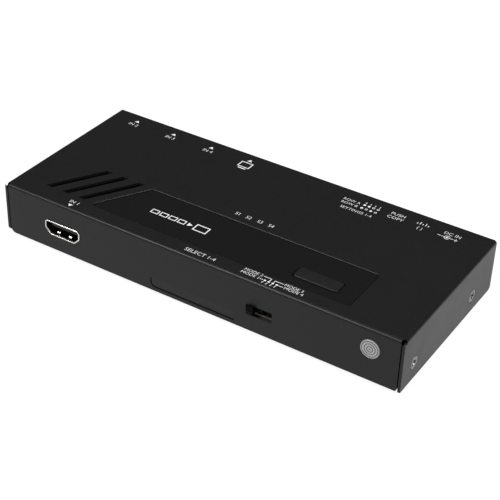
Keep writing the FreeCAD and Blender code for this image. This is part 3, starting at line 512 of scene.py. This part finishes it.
def window_plastic(centre):
    """Frosted clear plastic over a pale backing, with painted shade in the valleys of its moulded rings.

    The painted shade follows the cosine of the distance from the window's axis, like the rings themselves.
    """
    frost_with_painted_shade = Finish("window_frost_painted_ring_shade", (0.40, 0.40, 0.41), 0.2)
    beside = frost_with_painted_shade.nodes.new("ShaderNodeVectorMath")
    beside.operation = "LENGTH"
    frost_with_painted_shade.links.new(frost_with_painted_shade.stretched((1, 0, 1), (-centre[0], 0, -centre[2])), beside.inputs[0])
    turn = 2 * math.pi / WINDOW_PITCH
    angle = frost_with_painted_shade.arithmetic("MULTIPLY_ADD", beside.outputs["Value"], turn, -turn * WINDOW_CREST)
    share = frost_with_painted_shade.spread(frost_with_painted_shade.arithmetic("COSINE", angle), 0, 1, -1, 1)
    # Painted shade: dark in the ring valleys, and the plastic's pale tone on the crests.
    frost_with_painted_shade.tint(share, (0.10, 0.10, 0.103), (0.42, 0.42, 0.425), 0.1, 0.95)
    return frost_with_painted_shade.material


# ---- sockets ----

PORT_LIP = 0.65 * MM
PORT_WALL = 0.35 * MM
PORT_LIP_T = 0.4 * MM
PORT_CORNER_R = 0.6 * MM
PORT_MOUTH = 0.2 * MM       # how much wider the mouth is than the tube behind it
PORT_EDGE_R = 0.1 * MM
PORT_LOW_HALF = 5.1 * MM
PORT_SLOPE = 1.95 * MM      # height of the slanted part of each side
SPRING_X = 2.6 * MM
SPRING_HALF_W = 0.6 * MM
SPRING_T = 0.2 * MM
SPRING_RISE = 0.6 * MM
SPRING_SET = 1.2 * MM
SPRING_L = 3.8 * MM


def port_outline(low, high):
    """The socket's D, wide side up, from the shell's box."""
    half = (high.x - low.x) / 2 - PORT_LIP
    top = (high.z - low.z) / 2 - PORT_LIP
    slope_top = PORT_SLOPE - top
    corners = [
        (-PORT_LOW_HALF, -top),
        (PORT_LOW_HALF, -top),
        (half, slope_top),
        (half, top),
        (-half, top),
        (-half, slope_top),
    ]
    return round_outline(corners, PORT_CORNER_R, steps=9)


def make_port(name, material, spring_finish, rear):
    """Drawn shell with a rolled lip, and two springs that rise from its floor.

    The shell is the D outline carrying one profile: flat back, outer wall, lip, inner wall, inner back.
    """
    low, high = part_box(name + "_shell")
    deep = high.y - low.y
    roll = PORT_LIP_T / 2
    flare = PORT_LIP - roll
    profile = np.vstack([
        pairs((PORT_WALL, deep), (PORT_WALL, PORT_LIP_T)),
        arc(flare, roll, roll, 90, -90, 10),
        arc(PORT_MOUTH + PORT_EDGE_R, PORT_EDGE_R, PORT_EDGE_R, -90, -180, 5),
        pairs((0.3 * PORT_MOUTH, 5 * PORT_EDGE_R), (0, 9 * PORT_EDGE_R), (0, deep - PORT_WALL)),
    ])
    shell = carried(port_outline(low, high), profile)
    t = np.linspace(0, 1, 24)
    floor = -((high.z - low.z) / 2 - PORT_LIP)
    rise = SPRING_RISE * np.sin(math.pi * t ** 0.4) ** 2
    spring = strip(np.stack([SPRING_SET + SPRING_L * t, floor + rise], axis=1), SPRING_HALF_W, SPRING_T)
    tube = placed((shell[0][:, [0, 2, 1]], shell[1]), (0, 0, 0))
    tabs = [placed(spring, (side * SPRING_X, 0, 0)) for side in (-1, 1)]
    middle = (low + high) / 2
    mouth = high.y if rear else low.y
    turn = -1 if rear else 1
    origin = (middle.x, mouth, middle.z)
    for suffix, parts, finish, stands_for in (
        ("_tube", [tube], material, [name + "_shell"]),
        ("_springs", tabs, spring_finish, ()),
    ):
        shapes = [placed(part, origin, turn * X_WAY, turn * Y_WAY, Z_WAY) for part in parts]
        make_piece(name + suffix, shapes, finish, "case", stands_for)


# ---- slide switch knobs ----

KNOB_W = 2.7 * MM
KNOB_H = 3.1 * MM
KNOB_HEAD_L = 2.55 * MM
KNOB_ROUND = 0.42 * MM
RIB_COUNT = 3
RIB_HALF_W = 0.2 * MM
RIB_D = 0.3 * MM
RIB_H = 1.75 * MM
RIB_END = 0.3 * MM           # length over which a groove runs out at its foot
STEM_W = 2.2 * MM
STEM_H = 2.0 * MM
SLIDER_H = 3.2 * MM
SLIDER_T = 1.0 * MM
SLIDER_EDGE_R = 0.1 * MM


def make_knob(name, node, body, material, rear):
    """Soft-edged head with grooves in the upper half of its face, a stem and the slider behind it."""
    low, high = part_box(node)
    tall = high.z - low.z
    deep = high.y - low.y
    half_w = KNOB_W / 2
    head_low, head_high = (-half_w, 0, tall - KNOB_H), (half_w, KNOB_HEAD_L, tall)
    points, faces = soft_block(head_low, head_high, KNOB_ROUND, (44, 6, 30))
    pitch = KNOB_W / (RIB_COUNT + 1)
    lane = np.abs((points[:, 0] + half_w + pitch / 2) % pitch - pitch / 2)
    edge = half_w - np.abs(points[:, 0])
    groove = smooth_step((RIB_HALF_W - lane) / (0.6 * RIB_HALF_W)) * (edge > pitch / 2)
    groove *= smooth_step((points[:, 2] - (tall - RIB_H)) / RIB_END)
    groove *= smooth_step(1 - points[:, 1] / (2 * KNOB_ROUND))
    points[:, 1] += RIB_D * groove
    slider_mid = SLIDER_H / 2
    half_l = (high.x - low.x) / 2
    stem = soft_block(
        (-STEM_W / 2, KNOB_HEAD_L - KNOB_ROUND, slider_mid - STEM_H / 2),
        (STEM_W / 2, deep - SLIDER_T / 2, slider_mid + STEM_H / 2),
        SLIDER_EDGE_R,
    )
    slider = soft_block((-half_l, deep - SLIDER_T, 0), (half_l, deep, SLIDER_H), SLIDER_EDGE_R)
    turn = -1 if rear else 1
    origin = ((low.x + high.x) / 2, high.y if rear else low.y, low.z)
    blocks = ((points, faces), stem, slider)
    shapes = [placed(block, origin, turn * X_WAY, turn * Y_WAY, Z_WAY) for block in blocks]
    return make_piece(name, shapes, material, body, [node])


# ---- buttons ----

BUTTON_LIP = 1.0 * MM
BUTTON_LIP_T = 1.0 * MM
BUTTON_CORNER_R = 1.0 * MM
BUTTON_EDGE_R = 0.35 * MM
BUTTON_CROWN = 0.1 * MM
BUTTON_STEM_R = 2.75 * MM
BUTTON_STEM_L = 1.175 * MM
COPY_DOME = 0.3 * MM


def make_select_cap(material):
    """The cap: a round-cornered oblong with a soft edge and a crown, above a lip and a stem.

    The crown adds BUTTON_CROWN * (1 - (y / half width) squared) to the top, fading out down the soft edge.
    """
    low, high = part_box("select_button")
    half_l = (high.x - low.x) / 2 - BUTTON_LIP
    half_w = (high.y - low.y) / 2 - BUTTON_LIP
    lip_low = BUTTON_STEM_L
    lip_top = lip_low + BUTTON_LIP_T
    top = high.z - low.z - BUTTON_CROWN
    profile = np.vstack([
        pairs((BUTTON_LIP, lip_low), (BUTTON_LIP, lip_top), (0, lip_top)),
        arc(-BUTTON_EDGE_R, top - BUTTON_EDGE_R, BUTTON_EDGE_R, 0, 90, 9),
        inwards_rows(-BUTTON_EDGE_R, top, np.linspace(0.06, 0.96, 16)),
    ])
    points, faces = carried(round_oblong(half_l, half_w, BUTTON_CORNER_R, steps=13), profile)
    fade = smooth_step((points[:, 2] - top + BUTTON_EDGE_R) / BUTTON_EDGE_R)
    points[:, 2] += BUTTON_CROWN * fade * np.clip(1 - (points[:, 1] / half_w) ** 2, 0, 1)
    stem = carried(circle(), pairs((BUTTON_STEM_R, 0), (BUTTON_STEM_R, lip_low + BUTTON_LIP_T / 2)))
    origin = ((low.x + high.x) / 2, (low.y + high.y) / 2, low.z)
    shapes = [placed(shape, origin) for shape in ((points, faces), stem)]
    return make_piece("select_cap", shapes, material, "select_key", ["select_button"])


def make_copy_cap(material):
    """A round plunger with a domed end."""
    low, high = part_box("copy_button")
    radius = (high.x - low.x) / 2
    length = high.y - low.y
    edge = COPY_DOME
    profile = np.vstack([
        pairs((radius, 0)),
        arc(radius - edge, length - edge - COPY_DOME / 2, edge, 0, 75, 7),
        pairs(
            (radius * 0.6, length - COPY_DOME / 6),
            (radius * 0.3, length - COPY_DOME / 20),
            (radius * 0.05, length),
        ),
    ])
    shape = carried(circle(48), profile)
    origin = ((low.x + high.x) / 2, low.y, (low.z + high.z) / 2)
    cap = placed(shape, origin, X_WAY, Z_WAY, Y_WAY)
    return make_piece("copy_cap", [cap], material, "copy_key", ["copy_button"])


# ---- window ----

WINDOW_R = 3.4 * MM
WINDOW_PROUD = 0.35 * MM
WINDOW_PITCH = 0.9 * MM
WINDOW_CREST = 3.3 * MM     # radius of the outermost ring's crest
WINDOW_RING_D = 0.17 * MM
WINDOW_SHEET = 1.0 * MM
WINDOW_FLANGE_T = 0.6 * MM
WINDOW_BARREL_R = 2.6 * MM
WINDOW_RIM = 0.08 * MM       # how far the rim lies behind the valleys


def make_window():
    """The ribbed window, turned about its axis: ring-shaped waves on the face, a flange and a short barrel.

    The face lies WINDOW_RING_D * (1 - wave) behind its crests, where wave is half of 1 plus the cosine that
    turns once in WINDOW_PITCH of radius and is 1 at WINDOW_CREST.
    """
    low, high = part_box("status_lens")
    flange_r = (high.x - low.x) / 2
    deep = high.y - low.y
    radii = np.linspace(0.02, 0.97, 120) * WINDOW_R
    wave = 0.5 + 0.5 * np.cos(2 * math.pi * (radii - WINDOW_CREST) / WINDOW_PITCH)
    face = np.stack([radii, np.zeros_like(radii), WINDOW_RING_D * (1 - wave)], axis=1)
    sheet = WINDOW_PROUD + WINDOW_SHEET
    behind = sheet + WINDOW_FLANGE_T
    body = pairs(
        (WINDOW_R, WINDOW_RING_D + WINDOW_RIM),
        (WINDOW_R, sheet),
        (flange_r, sheet),
        (flange_r, behind),
        (WINDOW_BARREL_R, behind),
        (WINDOW_BARREL_R, deep),
    )
    shape = carried(circle(96), np.vstack([face, body]))
    centre = ((low.x + high.x) / 2, low.y, (low.z + high.z) / 2)
    window = placed(shape, centre, X_WAY, Z_WAY, Y_WAY)
    # The window's finish has painted shade in its ring valleys.
    frost_with_painted_shade = window_plastic(centre)
    return make_piece("ribbed_window", [window], frost_with_painted_shade, "case", ["status_lens"])


# ---- side screws, feet and jack parts ----

HEAD_R = 2.42 * MM
SHANK_R = 1.45 * MM
HEAD_T = 0.95 * MM
SCREW_L = 4.0 * MM
CROSS_HALF_L = 1.45 * MM
CROSS_HALF_W = 0.42 * MM
CROSS_D = 0.9 * MM
CROSS_WALL = 0.16 * MM       # width over which the recess's walls fall
CROSS_END = 0.8 * MM         # length over which its arms run out
HEAD_EDGE_R = 0.12 * MM
SCREW_Y = (-25.4 * MM, 17.7 * MM)


def cross_depth(a, b):
    """How deep the driver recess is at (a, b): two tapered arms that cross, full depth in the middle."""
    reach = np.maximum(np.abs(a), np.abs(b))
    beside = np.minimum(np.abs(a), np.abs(b))
    width = CROSS_HALF_W * (1.25 - 0.5 * reach / CROSS_HALF_L)
    across = smooth_step((width - beside) / CROSS_WALL + 0.5)
    along = smooth_step((CROSS_HALF_L - reach) / CROSS_END)
    return CROSS_D * across * along


def side_screw():
    """A countersunk cross-head screw with its face at level 0 and its shank at negative levels."""
    radii = np.linspace(0.01, 0.955, 60) * HEAD_R
    face = np.stack([radii, np.zeros_like(radii), np.zeros_like(radii)], axis=1)
    body = np.vstack([
        arc(HEAD_R - HEAD_EDGE_R, -HEAD_EDGE_R, HEAD_EDGE_R, 80, 0, 5),
        pairs((SHANK_R, -HEAD_T), (SHANK_R, -SCREW_L)),
    ])
    points, faces = carried(circle(120), np.vstack([face, body]))
    on_face = points[:, 2] > -WELD
    points[:, 2] -= np.where(on_face, cross_depth(points[:, 0], points[:, 1]), 0)
    return points, faces


def make_side_screws(material):
    """Two screws on each side, each with its recess turned its own way."""
    low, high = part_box("side_screws")
    level = (low.z + high.z) / 2
    shapes = []
    for side, x in ((-1, low.x), (1, high.x)):
        for k, y in enumerate(SCREW_Y):
            turn = math.radians(20 + 35 * k)
            across = math.cos(turn) * Y_WAY + math.sin(turn) * Z_WAY
            along = -math.sin(turn) * Y_WAY + math.cos(turn) * Z_WAY
            shapes.append(placed(side_screw(), (x, y, level), across, along, side * X_WAY))
    return make_piece("cross_screws", shapes, material, "case", ["side_screws"])


def make_feet(material):
    """Round feet with a soft lower edge and a shallow dish under each."""
    for row in ("front", "rear"):
        for column in ("left", "right"):
            node = "foot_" + row + "_" + column
            low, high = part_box(node)
            radius = (high.x - low.x) / 2
            tall = high.z - low.z
            profile = np.vstack([
                pairs((0.3 * radius, 0.25 * tall), (0.62 * radius, 0.22 * tall), (0.75 * radius, 0)),
                arc(radius - 0.3 * tall, 0.3 * tall, 0.3 * tall, -90, 0, 7),
                pairs((radius, 0.85 * tall), (0.97 * radius, tall)),
            ])
            origin = ((low.x + high.x) / 2, (low.y + high.y) / 2, low.z)
            foot = placed(carried(circle(72), profile), origin)
            make_piece("rubber_" + node, [foot], material, "case", [node])


BUSHING_BORE_R = 1.8 * MM
BUSHING_RIM_R = 0.3 * MM


def make_bushing(material):
    """The serial jack's bushing: a tube with a soft rim and a dished mouth."""
    low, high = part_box("serial_jack_bushing")
    outer = (high.x - low.x) / 2
    length = high.y - low.y
    profile = np.vstack([
        pairs((BUSHING_BORE_R, 0), (outer, 0)),
        arc(outer - BUSHING_RIM_R, length - BUSHING_RIM_R, BUSHING_RIM_R, 0, 90, 7),
        arc(BUSHING_BORE_R + BUSHING_RIM_R, length - BUSHING_RIM_R, BUSHING_RIM_R, 90, 180, 7),
    ])
    origin = ((low.x + high.x) / 2, low.y, (low.z + high.z) / 2)
    tube = placed(carried(circle(72), profile, ring=True), origin, X_WAY, Z_WAY, Y_WAY)
    return make_piece("serial_bushing", [tube], material, "case", ["serial_jack_bushing"])


# ---- print ----

INK_T = 0.02 * MM
INK_SINK = 0.01 * MM
LETTER_DEPTH = 0.05          # half the letters' thickness, in the font's units
LETTER_WEIGHT = -0.012       # how much their outlines grow, in the font's units


def plate(outline, level):
    """A thin plate of ink with the given outline round it, from just under level to just over it."""
    outline = np.array(outline, float) * MM
    count = len(outline)
    low = np.column_stack([outline, np.full(count, level - INK_SINK)])
    high = np.column_stack([outline, np.full(count, level + INK_T)])
    number = np.arange(count)
    after = np.roll(number, -1)
    sides = np.stack([number, after, after + count, number + count], axis=-1)
    caps = np.stack([number[::-1], number + count])
    return outwards((np.concatenate([low, high]), [sides, caps]))


def bar(x0, x1, y0, y1, level):
    """A rectangle of ink."""
    return plate([(x0, y0), (x1, y0), (x1, y1), (x0, y1)], level)


def pointer(x, y, half_width, rise, level):
    """A triangle of ink: the middle of its base at (x, y), and its tip rise further back."""
    return plate([(x - half_width, y), (x + half_width, y), (x, y + rise)], level)


def disc(x, y, radius, level, steps=24):
    """A round dot of ink."""
    angles = np.linspace(0, 2 * math.pi, steps, endpoint=False)
    return plate(np.column_stack([x + radius * np.cos(angles), y + radius * np.sin(angles)]), level)


def hoop(x, y, radius, width, level, start=0, end=360, steps=40):
    """A ring of ink, or the part of it between two angles in degrees."""
    angles = np.radians(np.linspace(start, end, steps))
    ways = np.column_stack([np.cos(angles), np.sin(angles)])
    outer = np.array([x, y]) + ways * (radius + width / 2)
    inner = np.array([x, y]) + ways * (radius - width / 2)
    if end - start < 360:
        return [plate(np.concatenate([outer, inner[::-1]]), level)]
    half = steps // 2
    return [
        plate(np.concatenate([outer[a:b], inner[a:b][::-1]]), level)
        for a, b in ((0, half + 1), (half, steps))
    ]


def stroke(points, width, level):
    """A line of ink through the points, with mitred corners."""
    points = np.array(points, float)
    ways = np.diff(points, axis=0)
    ways /= np.linalg.norm(ways, axis=1)[:, None]
    normals = np.column_stack([-ways[:, 1], ways[:, 0]])
    before = np.concatenate([normals[:1], normals])
    after = np.concatenate([normals, normals[-1:]])
    mitre = (before + after) / (1 + np.sum(before * after, axis=1))[:, None]
    return plate(np.concatenate([points + mitre * width / 2, (points - mitre * width / 2)[::-1]]), level)


def letter_mesh(words, weight):
    """The words as a solid mesh: points, triangles, in the font's own units."""
    curve = bpy.data.curves.new("letters", "FONT")
    curve.body = words
    curve.extrude = LETTER_DEPTH
    curve.offset = weight
    curve.resolution_u = 3
    holder = bpy.data.objects.new("letters", curve)
    mesh = bpy.data.meshes.new_from_object(holder)
    mesh.calc_loop_triangles()
    points = np.empty(len(mesh.vertices) * 3)
    mesh.vertices.foreach_get("co", points)
    triangles = np.empty(len(mesh.loop_triangles) * 3, np.int32)
    mesh.loop_triangles.foreach_get("vertices", triangles)
    bpy.data.objects.remove(holder)
    bpy.data.curves.remove(curve)
    bpy.data.meshes.remove(mesh)
    return points.reshape(-1, 3), triangles.reshape(-1, 3)


CAPITAL = np.ptp(letter_mesh("H", 0)[0][:, 1])


def letters(words, height, x, y, level, anchor=0.0, squeeze=1.0):
    """Letters of the given capital height, feet on y. Anchor 0 puts their left end at x, and 1 their right."""
    points, triangles = letter_mesh(words, LETTER_WEIGHT)
    size = height / CAPITAL * MM
    flat = points[:, :2] * (size * squeeze, size)
    left, right = flat[:, 0].min(), flat[:, 0].max()
    flat[:, 0] += x * MM - left - anchor * (right - left)
    flat[:, 1] += y * MM
    share = (points[:, 2] / LETTER_DEPTH + 1) / 2
    rise = level - INK_SINK + share * (INK_SINK + INK_T)
    return outwards((np.column_stack([flat, rise]), [triangles]))


# The print's places are in millimetres, worked out from the sockets, switches and edges that it belongs to.

FRONT, BACK = (corner.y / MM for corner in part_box("top_cover"))
FRONT_ASIDE = 2.3     # the front legends stand this far to the right of what they name
SMALL = 1.35          # heights of capitals
PLAIN = 1.6
THIN = 0.22           # widths of lines
BOLD = 0.28


def spot(node):
    """The middle of a node's box, in millimetres."""
    low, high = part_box(node)
    return (low + high) / 2 / MM


def input_marks(top):
    """A triangle that points at each input's socket, and its number."""
    x = spot("video_in_1_shell").x + FRONT_ASIDE
    shapes = [
        pointer(x, FRONT + 2.6, 1, -1.3, top),
        letters("IN 1", PLAIN, x + 0.2, FRONT + 3.5, top, anchor=0.5),
    ]
    y = BACK - 4.4
    for number in (2, 3, 4):
        x = spot("video_in_" + str(number) + "_shell").x
        shapes.append(pointer(x, y - 0.7, 1, 1.4, top))
        shapes.append(letters("IN " + str(number), PLAIN, x, y - 3.5, top, anchor=0.5))
    return shapes


def screen(x0, x1, y0, y1, width, level):
    """A rectangle drawn inside its limits with four bars of ink."""
    return [
        bar(x0, x1, y0, y0 + width, level),
        bar(x0, x1, y1 - width, y1, level),
        bar(x0, x0 + width, y0 + width, y1 - width, level),
        bar(x1 - width, x1, y0 + width, y1 - width, level),
    ]


def output_mark(top):
    """A screen on its foot, with a triangle that points at the output's socket."""
    x = spot("video_out_shell").x - 0.2
    return screen(x - 2.5, x + 2.5, BACK - 9.4, BACK - 5.7, 0.4, top) + [
        bar(x - 1.6, x + 1.6, BACK - 10.5, BACK - 10, top),
        pointer(x, BACK - 4.8, 1, 1.4, top),
    ]


def station_marks(top):
    """The number of each indicator, behind it."""
    shapes = []
    for number in "1234":
        at = spot("status_led_" + number)
        shapes.append(letters("S" + number, PLAIN, at.x, at.y + 6.1, top, anchor=0.5))
    return shapes


def mode_legend(top):
    """A dot for each step of the slide switch, a tick towards it, and a line from each dot to its words."""
    middle = spot("mode_switch_frame").x + FRONT_ASIDE
    xs = [middle + 1.5 * (k - 1.5) for k in range(4)]
    y = FRONT + 3
    shapes = [disc(x, y, 0.42, top) for x in xs]
    shapes += [stroke([(x - 0.45 + 0.1 * k, y - 1.7), (x, y - 0.75)], THIN, top) for k, x in enumerate(xs)]
    near, far = middle - 3, middle + 4
    shapes += [
        stroke([(near, y), (near - 1.2, y)], THIN, top),
        stroke([(xs[1], y + 0.3), (xs[1], y + 1.8), (near - 0.6, y + 1.8)], THIN, top),
        stroke([(xs[2], y + 0.3), (xs[2], y + 1.6), (far, y + 1.6)], THIN, top),
        stroke([(xs[3] + 0.6, y), (far + 0.6, y)], THIN, top),
        letters("MODE 1", SMALL, near - 1.7, y - 0.6, top, anchor=1),
        letters("MODE 2", SMALL, near - 1.1, y + 1.2, top, anchor=1),
        letters("MODE 3", SMALL, far + 0.4, y + 1, top),
        letters("MODE 4", SMALL, far + 1.1, y - 0.6, top),
    ]
    return shapes


def settings_table(top):
    """Two rows of filled and hollow dots, one column for each step of the settings switch."""
    middle = spot("settings_switch_frame").x
    xs = [middle + 1.8 * (k - 1.5) for k in range(4)]
    shapes = [stroke([(x, BACK - 5.3), (x, BACK - 4.3)], THIN, top) for x in xs]
    words_end = xs[0] - 1.7
    for words, y, row in (("ROW A", BACK - 6.3, (1, 1, 0, 0)), ("ROW B", BACK - 8.5, (1, 0, 1, 0))):
        shapes.append(letters(words, SMALL, words_end, y - 0.7, top, anchor=1))
        for x, filled in zip(xs, row):
            shapes += [disc(x, y, 0.5, top)] if filled else hoop(x, y, 0.4, 0.2, top)
    shapes.append(letters("SETTINGS 1-4", SMALL, middle - 9.5, BACK - 12.2, top, squeeze=1.05))
    return shapes


def jack_legends(top):
    """Copy button, serial jack and supply jack."""
    copy, serial, supply = (spot(node).x for node in ("copy_button", "serial_jack_bushing", "dc_jack_body"))
    y = BACK - 8.1
    plus, minus, ring = supply + 2.2, supply - 4, supply - 1
    shapes = [
        letters("PUSH", PLAIN, copy, BACK - 5.9, top, anchor=0.5),
        letters("COPY", PLAIN, copy, BACK - 8.4, top, anchor=0.5),
        letters("( )", PLAIN, serial, BACK - 9, top, anchor=0.5),
        letters("DC IN", PLAIN, supply, BACK - 6.4, top, anchor=0.5),
        stroke([(plus - 0.65, y), (plus + 0.65, y)], BOLD, top),
        stroke([(plus, y - 0.65), (plus, y + 0.65)], BOLD, top),
        stroke([(minus - 0.6, y), (minus + 0.6, y)], BOLD, top),
        stroke([(ring - 2.1, y), (ring - 1.1, y)], THIN, top),
        stroke([(ring, y), (ring + 2.2, y)], THIN, top),
        disc(ring, y, 0.45, top),
    ]
    shapes += hoop(ring, y, 1, THIN, top, start=35, end=325)
    for k in range(5):
        x = serial + 1.05 * (k - 2)
        shapes.append(stroke([(x, BACK - 6.1), (x, BACK - (4.5 if k % 2 else 5.3))], BOLD, top))
    return shapes


def panel_pictogram(top):
    """Four small screens, an arrow and one larger screen: four sources shown on one display."""
    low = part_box("overlay_label")[0]
    start = low.x / MM + 18.4
    middle = low.y / MM + 9.4
    shapes = []
    for k in range(4):
        x = start + 3.75 * k
        shapes += screen(x, x + 3.1, middle - 1.15, middle + 1.15, 0.36, top)
    tip = start + 17.2
    shapes.append(plate([(tip - 1.9, middle - 1), (tip, middle), (tip - 1.9, middle + 1)], top))
    shapes += screen(tip + 0.9, tip + 6.4, middle - 1.9, middle + 1.9, 0.42, top)
    return shapes


def range_legend(top):
    """Words in front of the middle of the panel."""
    start = spot("overlay_label").x - 9.3
    return [letters("SELECT 1-4", 1.75, start, FRONT + 2.4, top, squeeze=0.98)]


def make_print(ink):
    """All printed marks, each group its own piece, on the steel top or on the panel's film."""
    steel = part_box("top_cover")[1].z
    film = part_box("overlay_label")[1].z
    for make, level in (
        (input_marks, steel),
        (output_mark, steel),
        (station_marks, steel),
        (mode_legend, steel),
        (settings_table, steel),
        (jack_legends, steel),
        (range_legend, steel),
        (panel_pictogram, film),
    ):
        make_piece(make.__name__, make(level), ink, "case")


# ---- CAD nodes ----

def give_finishes(finishes):
    """Puts each finish on the CAD nodes whose names start and end with its words."""
    for node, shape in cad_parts.items():
        chosen = [finish for start, end, finish in finishes if node.startswith(start) and node.endswith(end)]
        shape.data.materials.clear()
        shape.data.materials.append(chosen[0])


def dress_nodes():
    """Materials of every CAD node, and the pieces that stand for some of them."""
    coat = powder_coat()
    nickel = nickel_shell("socket_nickel")
    # The socket tubes carry painted shade inside, for the shade deep in the sockets.
    shaded_shell_finish = nickel_shell("shell_nickel_painted_shade", painted_shade_from=MOUTH_Y)
    steel = plated_steel()
    black = moulded_black("socket_black", 0.009, 0.5, 2500, 1.33)
    knob = moulded_black("knob_black", 0.0028, 0.46, 2500, 1.14)
    button = moulded_black("button_black", 0.0095, 0.42, 2200, 1.3)
    rubber = foot_rubber()
    epoxy = chip_epoxy()
    zinc = screw_zinc()
    can = brushed_aluminium("bright_can", 0.62, (1, 1, 0.1))
    gold = gold_contact()
    give_finishes((
        ("top_cover", "", coat),
        ("base_pan", "", coat),
        ("overlay", "", overlay_film()),
        ("rating", "", label_foil()),
        ("foot", "", rubber),
        ("side_screws", "", zinc),
        ("main_board", "", solder_mask()),
        ("video", "shell", nickel),
        ("video", "tongue", black),
        ("video", "contacts", gold),
        ("", "frame", switch_steel()),
        ("", "base", brown_laminate()),
        ("", "terminals", steel),
        ("", "knob", knob),
        ("select_button", "", button),
        ("copy_button", "", button),
        ("select_switch_plunger", "", button),
        ("", "switch_body", black),
        ("", "jack_body", black),
        ("", "bushing", steel),
        ("dc_jack", "", steel),
        ("board_", "", steel),
        ("status_led", "", led_resin()),
        ("status_lens", "", epoxy),
        ("light_guide", "", clear_guide()),
        ("heat_sink", "", brushed_aluminium("dark_sink", 0.35, (1, 0.1, 1))),
        ("capacitors", "", can),
        ("crystal", "", can),
        ("", "", epoxy),
    ))
    for name in ("video_in_1", "video_in_2", "video_in_3", "video_in_4", "video_out"):
        make_port(name, shaded_shell_finish, nickel, rear=name != "video_in_1")
    make_knob("mode_knob", "mode_switch_knob", "mode_slider", knob, rear=False)
    make_knob("settings_knob", "settings_switch_knob", "settings_slider", knob, rear=True)
    make_select_cap(button)
    make_copy_cap(button)
    make_window()
    make_side_screws(zinc)
    make_feet(rubber)
    make_bushing(steel)
    make_print(legend_ink())


# ---- stage ----

CAMERA_AZIMUTH = math.radians(31.423)
CAMERA_ELEVATION = math.radians(34.378)
CAMERA_ROLL = math.radians(2.134)
CAMERA_PLACE = Vector((0.205907, -0.333092, 0.273189))
CAMERA_LENS = 96.29
CAMERA_SENSOR = 36
FLOOR_HALF = 3.0
FLOOR_DROP = 0.02 * MM       # keeps the floor clear of the feet's undersides


def make_camera():
    """Looks along its azimuth and elevation, and leans by its roll about that line."""
    back = Vector((
        math.sin(CAMERA_AZIMUTH) * math.cos(CAMERA_ELEVATION),
        -math.cos(CAMERA_AZIMUTH) * math.cos(CAMERA_ELEVATION),
        math.sin(CAMERA_ELEVATION),
    ))
    level_right = (-back).cross(Vector((0, 0, 1))).normalized()
    level_up = back.cross(level_right)
    right = level_right * math.cos(CAMERA_ROLL) + level_up * math.sin(CAMERA_ROLL)
    up = level_up * math.cos(CAMERA_ROLL) - level_right * math.sin(CAMERA_ROLL)
    camera = bpy.data.cameras.new("camera")
    camera.lens = CAMERA_LENS
    camera.sensor_width = CAMERA_SENSOR
    holder = bpy.data.objects.new("camera", camera)
    place = Matrix((right, up, back)).transposed().to_4x4()
    place.translation = CAMERA_PLACE
    holder.matrix_world = place
    bpy.context.scene.collection.objects.link(holder)
    bpy.context.scene.camera = holder


def make_floor():
    """A plain pale floor."""
    corners = [(-1, -1), (1, -1), (1, 1), (-1, 1)]
    mesh = bpy.data.meshes.new("floor")
    mesh.from_pydata([(FLOOR_HALF * x, FLOOR_HALF * y, -FLOOR_DROP) for x, y in corners], [], [(0, 1, 2, 3)])
    paint = Finish("pale_floor", (0.14, 0.14, 0.14), 0.8)
    paint.main.inputs["Specular IOR Level"].default_value = 0.1
    paint.main.inputs["Emission Color"].default_value = (1, 1, 1, 1)
    paint.main.inputs["Emission Strength"].default_value = 0.90
    mesh.materials.append(paint.material)
    floor = bpy.data.objects.new("floor", mesh)
    bpy.context.scene.collection.objects.link(floor)


def softbox(name, azimuth, elevation, distance, width, height, power):
    """A lamp that faces the case from the given direction: azimuth 0 is in front, 90 at the right."""
    lamp = bpy.data.lights.new(name, "AREA")
    lamp.shape = "RECTANGLE"
    lamp.size, lamp.size_y = width, height
    lamp.energy = power
    turn, rise = math.radians(azimuth), math.radians(elevation)
    way = Vector((math.sin(turn) * math.cos(rise), -math.cos(turn) * math.cos(rise), math.sin(rise)))
    holder = bpy.data.objects.new(name, lamp)
    holder.location = way * distance
    holder.rotation_euler = way.to_track_quat("Z", "Y").to_euler()
    bpy.context.scene.collection.objects.link(holder)


def make_lights():
    """A dim world, two main lamps in front and at the right, and two weak ones above and behind."""
    world = bpy.data.worlds.new("studio")
    world.use_nodes = True
    world.node_tree.nodes["Background"].inputs["Color"].default_value = (1, 1, 1, 1)
    world.node_tree.nodes["Background"].inputs["Strength"].default_value = 0.10
    bpy.context.scene.world = world
    softbox("front_left_box", -37, 45, 1.2, 0.42, 0.42, 11)
    softbox("right_box", 95, 46, 1.2, 0.4, 0.4, 9)
    softbox("top_box", 20, 82, 1.3, 0.9, 0.9, 3.2)
    softbox("back_box", 200, 65, 1.4, 0.5, 0.3, 1.5)
    bpy.context.scene.view_settings.view_transform = "Standard"


make_camera()
make_floor()
make_lights()
dress_nodes()
